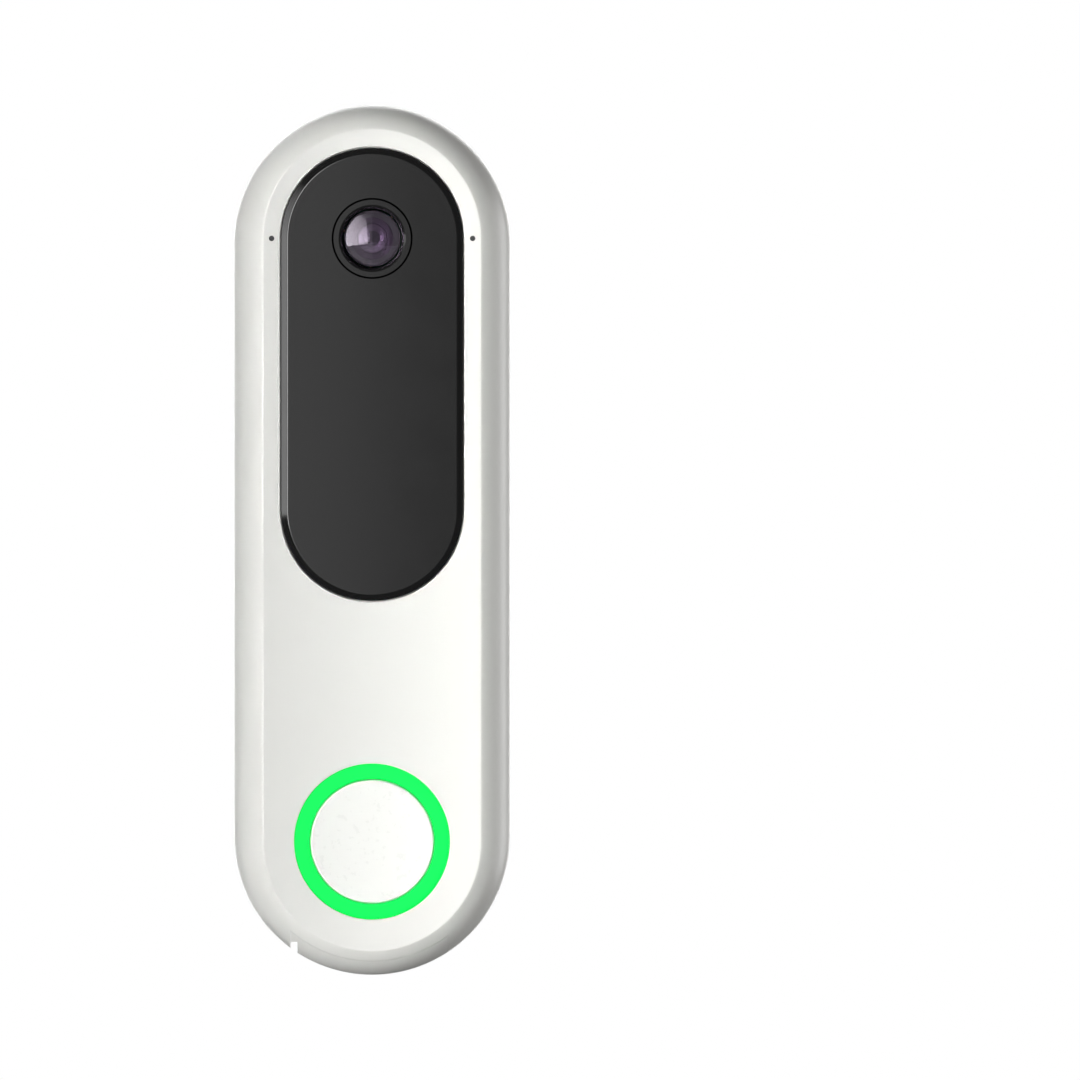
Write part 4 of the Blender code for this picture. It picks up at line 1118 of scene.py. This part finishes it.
def small_parts(board, spots):
    """Soldered resistors and capacitors at each (x, z): a body between two tinned ends."""
    front, edge = board[1], 0.00004
    end_depths, body_depths = (front - TOUCH, front + 0.00034), (front, front + 0.00038)
    parts = []
    for i, (x, z) in enumerate(spots):
        ends = (about(x, 0.0010), end_depths, about(z, 0.00048))
        body = (about(x, 0.0006), body_depths, about(z, 0.0005))
        parts.append(part_of("ends", ends, "bright_metal", edge))
        parts.append(part_of("body", body, "chip_black" if i % 3 else "led_white", edge))
    return parts


def make_board(node, shape, spots):
    """A square-edged circuit board with small parts on its front."""
    board = part_of(node + "_fine", shape, "board_green", BOARD_EDGE)
    place(merge(board, *small_parts(shape[1], spots)), node)


def both_sides(x, zs):
    """A spot at each of these heights, on the left and again on the right."""
    return [(side * x, z) for side in (-1, 1) for z in zs]


def make_main_board():
    """The largest board, with two columns of small parts along each side."""
    first, pitch, columns, rows = -0.0305, 0.0024, (0.0104, 0.0126), 26
    spots = [(side * x, first + i * pitch) for side in (-1, 1) for x in columns for i in range(rows)]
    make_board("main_board", (about(0.0, MAIN_WIDTH), MAIN_BOARD, MAIN_BOARD_Z), spots)


def make_processor():
    """A flat package with a dimple at its first contact, on a tinned rim of contacts."""
    width, z_centre, corner = 0.0120, 0.0260, 0.0046
    low, high = on(MAIN_BOARD, 0.0012)
    body_width = width - 0.0003
    chip = block("processor_fine", about(0.0, body_width), (low + TOUCH, high), about(z_centre, body_width))
    dimple = (high - TOUCH, high + TOUCH)
    cut(chip, round_bar("dimple", 0.0005, dimple, -corner, z_centre + corner, SMALL_STEPS))
    bake(chip)
    add_bevel(chip, 0.0001)
    coat(chip, "chip_black")
    rim = part_of("rim", (about(0.0, width), (low, low + 0.0003), about(z_centre, width)), "bright_metal")
    place(merge(chip, rim), "processor")


def make_radio_shield():
    """A tinned frame soldered to the board, and over it a drawn lid with rows of shallow holes."""
    low, high = on(MAIN_BOARD, 0.0022)
    bottom, top, width, pitch = -0.0270, -0.0050, 0.0160, 0.0032
    lid = block("radio_shield_fine", about(0.0, width), (low + 0.0004, high), (bottom, top))
    add_bevel(lid, 0.0004, 4)
    bake(lid)
    vent = (high - 2 * TOUCH, high + TOUCH)
    for i in range(3):
        for j in range(5):
            x, z = (i - 1) * pitch, (bottom + top) / 2 + (j - 2) * pitch
            cut(lid, round_bar("vent", 0.0004, vent, x, z, SMALL_STEPS // 2))
    coat(lid, "bright_metal")
    frame_zs = (bottom + 0.0002, top - 0.0002)
    base = part_of("base", (about(0.0, width - 0.0004), (low, low + 0.0006), frame_zs), "bright_metal")
    place(merge(lid, base), "radio_shield")


def make_motion_sensor():
    """A can with a flange and a dark window in its face."""
    low, brim = on(MAIN_BOARD, 0.0007)
    face, flange, radius, opening = brim + 0.0039, 0.0046, 0.0040, 0.0027
    shape = [(TOUCH, low), (flange, low), (flange, brim - TOUCH), (flange - TOUCH, brim), (0.0041, brim)]
    shape += [(radius, brim + TOUCH), (radius, face - 0.0004), (0.0039, face - TOUCH), (0.0036, face)]
    shape += [(opening, face), (opening, face - 2 * TOUCH), (TOUCH, face - 2 * TOUCH)]
    can = coat(turned("motion_sensor_fine", shape, 0.0, MOTION_SENSOR_Z), "bright_metal")
    window = round_bar("window", opening - TOUCH, (face - 3 * TOUCH, face - TOUCH), 0.0, MOTION_SENSOR_Z)
    coat(window, "black_plastic")
    place(merge(can, window), "motion_sensor")


def make_battery():
    """A wrapped cell with a band of amber tape across the end that carries its leads."""
    round_edge, proud, top = 0.0014, TOUCH / 2, BATTERY_Z[1]
    pack = block("battery_pack_fine", about(0.0, MAIN_WIDTH), BATTERY, BATTERY_Z)
    add_bevel(pack, round_edge, 6)
    coat(pack, "battery_wrap")
    depths = (BATTERY[0] - proud, BATTERY[1] + proud)
    tape = block("tape", about(0.0, MAIN_WIDTH + 2 * proud), depths, (top - 0.0075, top - 0.0022))
    add_bevel(tape, round_edge, 6)
    coat(tape, "ribbon_film")
    place(merge(pack, tape), "battery_pack")


def make_camera_board():
    pitch, count = 0.0021, 8
    spots = both_sides(0.0095, [CAMERA_BOARD_Z[0] + 0.0016 + i * pitch for i in range(count)])
    make_board("camera_board", (about(0.0, CAMERA_BOARD_WIDTH), CAMERA_BOARD, CAMERA_BOARD_Z), spots)


def make_image_sensor():
    """A chip whose face is a dark mirror between two rows of gilt pads."""
    low, high = on(CAMERA_BOARD, 0.0007)
    wide, tall, count, pitch = 0.0064, 0.0056, 14, 0.00034
    body = (about(0.0, wide), (low, high - TOUCH), about(CAMERA_Z, tall))
    sensor = part_of("image_sensor_fine", body, "chip_black")
    face = (about(0.0, wide - 0.0016), (high - 2 * TOUCH, high), about(CAMERA_Z, tall - 0.0012))
    active = coat(block("active", *face), "black_panel")
    pads = []
    for side in (-1, 1):
        for i in range(count):
            z = CAMERA_Z + (i - (count - 1) / 2) * pitch
            xs, zs = about(side * (wide / 2 - 0.0004), 0.0004), about(z, 0.0002)
            pads.append(coat(block("pad", xs, (high - 2 * TOUCH, high - TOUCH / 2), zs), "gilt"))
    place(merge(sensor, active, *pads), "image_sensor")


def make_lens_holder():
    """The moulded block round the barrel, with a collar at its front."""
    width, collar = 0.0130, LENS_RADIUS + 0.0011
    low, high = on(CAMERA_BOARD, 0.0038)
    holder = block("lens_holder_fine", about(0.0, width), (low, high - 0.0008), about(CAMERA_Z, width))
    add_bevel(holder, 0.0004, 3)
    bake(holder)
    join(holder, round_bar("collar", collar, (high - 0.0012, high), 0.0, CAMERA_Z))
    bore = (CAMERA_BOARD[0], IR_BOARD[0])
    cut(holder, round_bar("holder_bore", LENS_RADIUS + 2 * TOUCH, bore, 0.0, CAMERA_Z))
    dress(holder, "lens_holder", "black_plastic")


def make_infrared():
    """A board with a hole for the lens, and two domed diodes in ceramic seats."""
    width, height = IR_BOARD_SIZE
    board = block("ir_board_fine", about(0.0, width), IR_BOARD, about(CAMERA_Z, height))
    add_bevel(board, BOARD_EDGE)
    bake(board)
    hole = (IR_BOARD[0] - OVERCUT, IR_BOARD[1] + OVERCUT)
    cut(board, round_bar("ir_board_hole", LENS_RADIUS + FIT, hole, 0.0, CAMERA_Z))
    coat(board, "board_green")
    spots = both_sides(0.0066, [CAMERA_Z - 0.0040, CAMERA_Z + 0.0040])
    place(merge(board, *small_parts(IR_BOARD, spots)), "ir_board")
    base, rim = on(IR_BOARD, 0.0007)
    radius, dome_radius, dome_height, steps = 0.0016, 0.0011, 0.0006, 6
    seat = [(TOUCH, base), (radius, base), (radius, rim - TOUCH), (radius - TOUCH, rim), (TOUCH, rim)]
    turns = [math.pi / 2 * i / steps for i in range(steps)]
    dome = [(TOUCH, rim - TOUCH), (dome_radius, rim - TOUCH)]
    dome += [(dome_radius * math.cos(a), rim + dome_height * math.sin(a)) for a in turns]
    dome.append((TOUCH, rim + dome_height))
    for side, x in (("left", -IR_LED_X), ("right", IR_LED_X)):
        led = coat(turned(f"ir_led_{side}_fine", seat, x, CAMERA_Z, SMALL_STEPS), "led_white")
        lens = coat(turned("dome", dome, x, CAMERA_Z, SMALL_STEPS), "lens_glass")
        place(merge(led, lens), f"ir_led_{side}")


def make_microphones():
    """Drawn metal cans with a sound port in the face."""
    width, height, face = 0.0030, 0.0022, MICROPHONE[1]
    port = (face - 4 * TOUCH, face + TOUCH)
    for side, x in (("left", -MIC_X), ("right", MIC_X)):
        can = block(f"microphone_{side}_fine", about(x, width), MICROPHONE, about(CAMERA_Z, height))
        add_bevel(can, 0.0002, 3)
        bake(can)
        cut(can, round_bar("port", 0.0003, port, x, CAMERA_Z, SMALL_STEPS // 2))
        dress(can, f"microphone_{side}", "bright_metal")


def make_button_board():
    """A round board, with small parts in a circle between its switch and its LEDs."""
    board = round_bar("button_board_fine", BUTTON_BOARD_RADIUS, BUTTON_BOARD, 0.0, BUTTON_Z)
    add_bevel(board, BOARD_EDGE, angle=60)
    coat(board, "board_green")
    radius = 0.0065
    turns = [angle for i, angle in enumerate(full_turn(12)) if i % 3]
    spots = [(radius * math.cos(a), BUTTON_Z + radius * math.sin(a)) for a in turns]
    place(merge(board, *small_parts(BUTTON_BOARD, spots)), "button_board")


def make_ring_leds():
    """Ceramic packages, each with a round well in its face."""
    low, high = on(BUTTON_BOARD, 0.0009)
    radius = 0.36 * LED_WIDTH
    well = [(radius - TOUCH, high - 2 * TOUCH), (radius, high + TOUCH)]
    for i in range(LED_COUNT):
        angle = 2 * math.pi * (i + 0.5) / LED_COUNT
        x, z = LED_CIRCLE * math.cos(angle), BUTTON_Z + LED_CIRCLE * math.sin(angle)
        led = block(f"ring_led_{i + 1}_fine", about(x, LED_WIDTH), (low, high), about(z, LED_WIDTH))
        add_bevel(led, 0.0001)
        bake(led)
        cut(led, turned("well", well, x, z, SMALL_STEPS))
        dress(led, f"ring_led_{i + 1}", "led_white")


def make_tact_switch():
    """A moulded base under a steel plate that four rivets hold."""
    low, high = on(BUTTON_BOARD, 0.0022)
    xs, zs, corner = about(0.0, SWITCH_WIDTH), about(BUTTON_Z, SWITCH_WIDTH), 0.38 * SWITCH_WIDTH
    base = block("tact_switch_fine", xs, (low, high - 3 * TOUCH), zs)
    plate = block("plate", xs, (high - 3 * TOUCH, high - TOUCH), zs)
    depths = (BUTTON_BOARD[1] + 3 * FIT, RING_FLANGE[0])
    for piece, slot, edge in ((base, "chip_black", 0.00015), (plate, "bright_metal", 0.00005)):
        add_bevel(piece, edge)
        bake(piece)
        hole = round_bar("plunger_hole", PLUNGER_RADIUS + 2 * TOUCH, depths, 0.0, BUTTON_Z, SMALL_STEPS)
        cut(piece, hole)
        coat(piece, slot)
    rivets = []
    for x, z in both_sides(corner, [BUTTON_Z - corner, BUTTON_Z + corner]):
        head = round_bar("rivet", 0.0004, (high - 2 * TOUCH, high), x, z, SMALL_STEPS // 2)
        rivets.append(coat(head, "chip_black"))
    place(merge(base, plate, *rivets), "tact_switch")


def make_usb_board():
    pitch, count = 0.0013, 5
    spots = both_sides(0.0062, [USB_BOARD_Z[0] + 0.0012 + i * pitch for i in range(count)])
    make_board("usb_board", (about(0.0, USB_BOARD_WIDTH), USB_BOARD, USB_BOARD_Z), spots)


# ---- Pieces that keep their CAD shape


def finish_cad_nodes():
    """Gives every CAD node the finish of its material slot."""
    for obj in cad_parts.values():
        slot = obj.material_slots[0].material.name.split(".")[0] if obj.material_slots else ""
        material = MATERIALS.get(slot)
        if material:
            obj.data.materials.clear()
            obj.data.materials.append(material)


# ---- Stage, lights and camera


def stage_piece(name, bm):
    """An object of the set round the doorbell, made from a bmesh."""
    mesh = bpy.data.meshes.new(name)
    bm.to_mesh(mesh)
    bm.free()
    obj = bpy.data.objects.new(name, mesh)
    bpy.context.scene.collection.objects.link(obj)
    return obj


def make_floor():
    """A plain pale floor, well below the doorbell, that throws no light back up at it."""
    half, z = 3.0, -0.6
    bm = bmesh.new()
    bmesh.ops.create_grid(bm, x_segments=1, y_segments=1, size=half)
    floor = stage_piece("floor", bm)
    floor.location.z = z
    made = Finish("floor_pale", (0.85, 0.85, 0.85), 0.8)
    made.vary_roughness(made.noise(0.1), 0.75, 0.85)
    made.glow(WHITE, 0.75)
    floor.data.materials.append(made.material)
    floor.visible_diffuse = False
    floor.visible_glossy = False


def make_backdrop():
    """A white surround that only the camera sees, so that it throws no light on the doorbell."""
    bm = bmesh.new()
    bmesh.ops.create_uvsphere(bm, u_segments=32, v_segments=16, radius=4.0)
    backdrop = stage_piece("backdrop", bm)
    made = Finish("backdrop_white", (0.0, 0.0, 0.0), 1.0)
    made.shader.inputs["Specular IOR Level"].default_value = 0.0
    made.glow(WHITE, 1.0)
    backdrop.data.materials.append(made.material)
    for kind in ("diffuse", "glossy", "transmission", "volume_scatter", "shadow"):
        setattr(backdrop, f"visible_{kind}", False)


def direction(azimuth, elevation):
    """From the doorbell towards a light. Azimuth 0 is straight in front, and 90 is to the right."""
    across, up = math.radians(azimuth), math.radians(elevation)
    return Vector((math.sin(across) * math.cos(up), -math.cos(across) * math.cos(up), math.sin(up)))


def studio_light(name, azimuth, elevation, distance, size, power, aside=(0.0, 0.0), spread=180):
    """A rectangular soft light of so many watts that faces the doorbell, or is slid aside (right, up).

    With a narrow spread, a light that is slid aside looks brightest, from the doorbell, at its near end.
    """
    data = bpy.data.lights.new(name, "AREA")
    data.shape = "RECTANGLE"
    data.size, data.size_y = size
    data.energy = power
    data.spread = math.radians(spread)
    light = bpy.data.objects.new(name, data)
    towards = direction(azimuth, elevation)
    right = direction(azimuth + 90, 0)
    light.location = towards * distance + right * aside[0] + towards.cross(right) * aside[1]
    light.rotation_euler = (-towards).to_track_quat("-Z", "Y").to_euler()
    light.visible_camera = False
    bpy.context.scene.collection.objects.link(light)
    return light


def make_lights():
    """Soft lights that shape the white case. Those in front are hidden from the glass and other gloss."""
    key = studio_light("key", -50, 0, 1.0, SOFTBOX, 3.3)
    grade = studio_light("grade", -40, 0, 0.7, (0.16, 0.7), 1.15, aside=(0.14, 0.0), spread=22)
    low = studio_light("front_low", 0, -28, 1.0, (0.5, 0.3), 1.37)
    for light in (key, grade, low):
        light.visible_glossy = False
        light.visible_transmission = False
    studio_light("side_right", 105, 0, 1.0, SOFTBOX, 1.78)
    studio_light("rim_right", 124, 0, 1.0, SOFTBOX, 2.65)
    studio_light("top", 0, 90, 1.0, (0.6, 0.4), 0.67)
    studio_light("back", 180, 10, 1.0, (0.8, 0.8), 7.0)


def make_reflections():
    """Lights that are only seen reflected: two panels in front, a window, and a strip at the far left."""
    width, distance, seam = 0.6, 0.5, 0.001
    size = (width, 1.0)
    left = studio_light("sheen_left", 0, 0, distance, size, 1.05, aside=(-width / 2 + seam, 0.0))
    right = studio_light("sheen_right", 0, 0, distance, size, 0.30, aside=(width / 2 + seam, 0.0))
    window = studio_light("window", -50, -7, 0.6, (0.56, 0.7), 4.2, aside=(0.28, 0.35), spread=115)
    strip = studio_light("strip", -69, -3, 0.7, (0.10, 0.60), 0.10, aside=(0.0, 0.30), spread=90)
    for light in (left, right, window, strip):
        light.visible_diffuse = False


def make_world():
    world = bpy.data.worlds.new("studio")
    world.use_nodes = True
    scene = bpy.context.scene
    scene.world = world
    background = world.node_tree.nodes["Background"]
    background.inputs["Color"].default_value = WHITE
    background.inputs["Strength"].default_value = AMBIENT
    scene.view_settings.view_transform = "Standard"
    scene.view_settings.look = "None"


def make_camera():
    data = bpy.data.cameras.new("camera")
    data.type = "ORTHO"
    data.ortho_scale = VIEW_WIDTH
    camera = bpy.data.objects.new("camera", data)
    camera.location = (VIEW_X, -VIEW_DISTANCE, 0.0)
    camera.rotation_euler = (math.radians(90), 0.0, 0.0)
    bpy.context.scene.collection.objects.link(camera)
    bpy.context.scene.camera = camera


PIECES = (
    make_front_shell, make_rear_shell, make_seal, make_flap, make_screws, make_panel, make_bezel, make_lenses,
    make_barrel, make_iris, make_mic_gaskets, make_button, make_membrane, make_light_ring, make_bracket,
    make_tongue, make_speaker, make_usb_socket, make_reset_button, make_main_board, make_processor,
    make_radio_shield, make_motion_sensor, make_battery, make_camera_board, make_image_sensor,
    make_lens_holder, make_infrared, make_microphones, make_button_board, make_ring_leds, make_tact_switch,
    make_usb_board,
)


def main():
    make_camera()
    finish_cad_nodes()
    for make in PIECES:
        make()
    make_floor()
    make_backdrop()
    make_lights()
    make_reflections()
    make_world()


main()
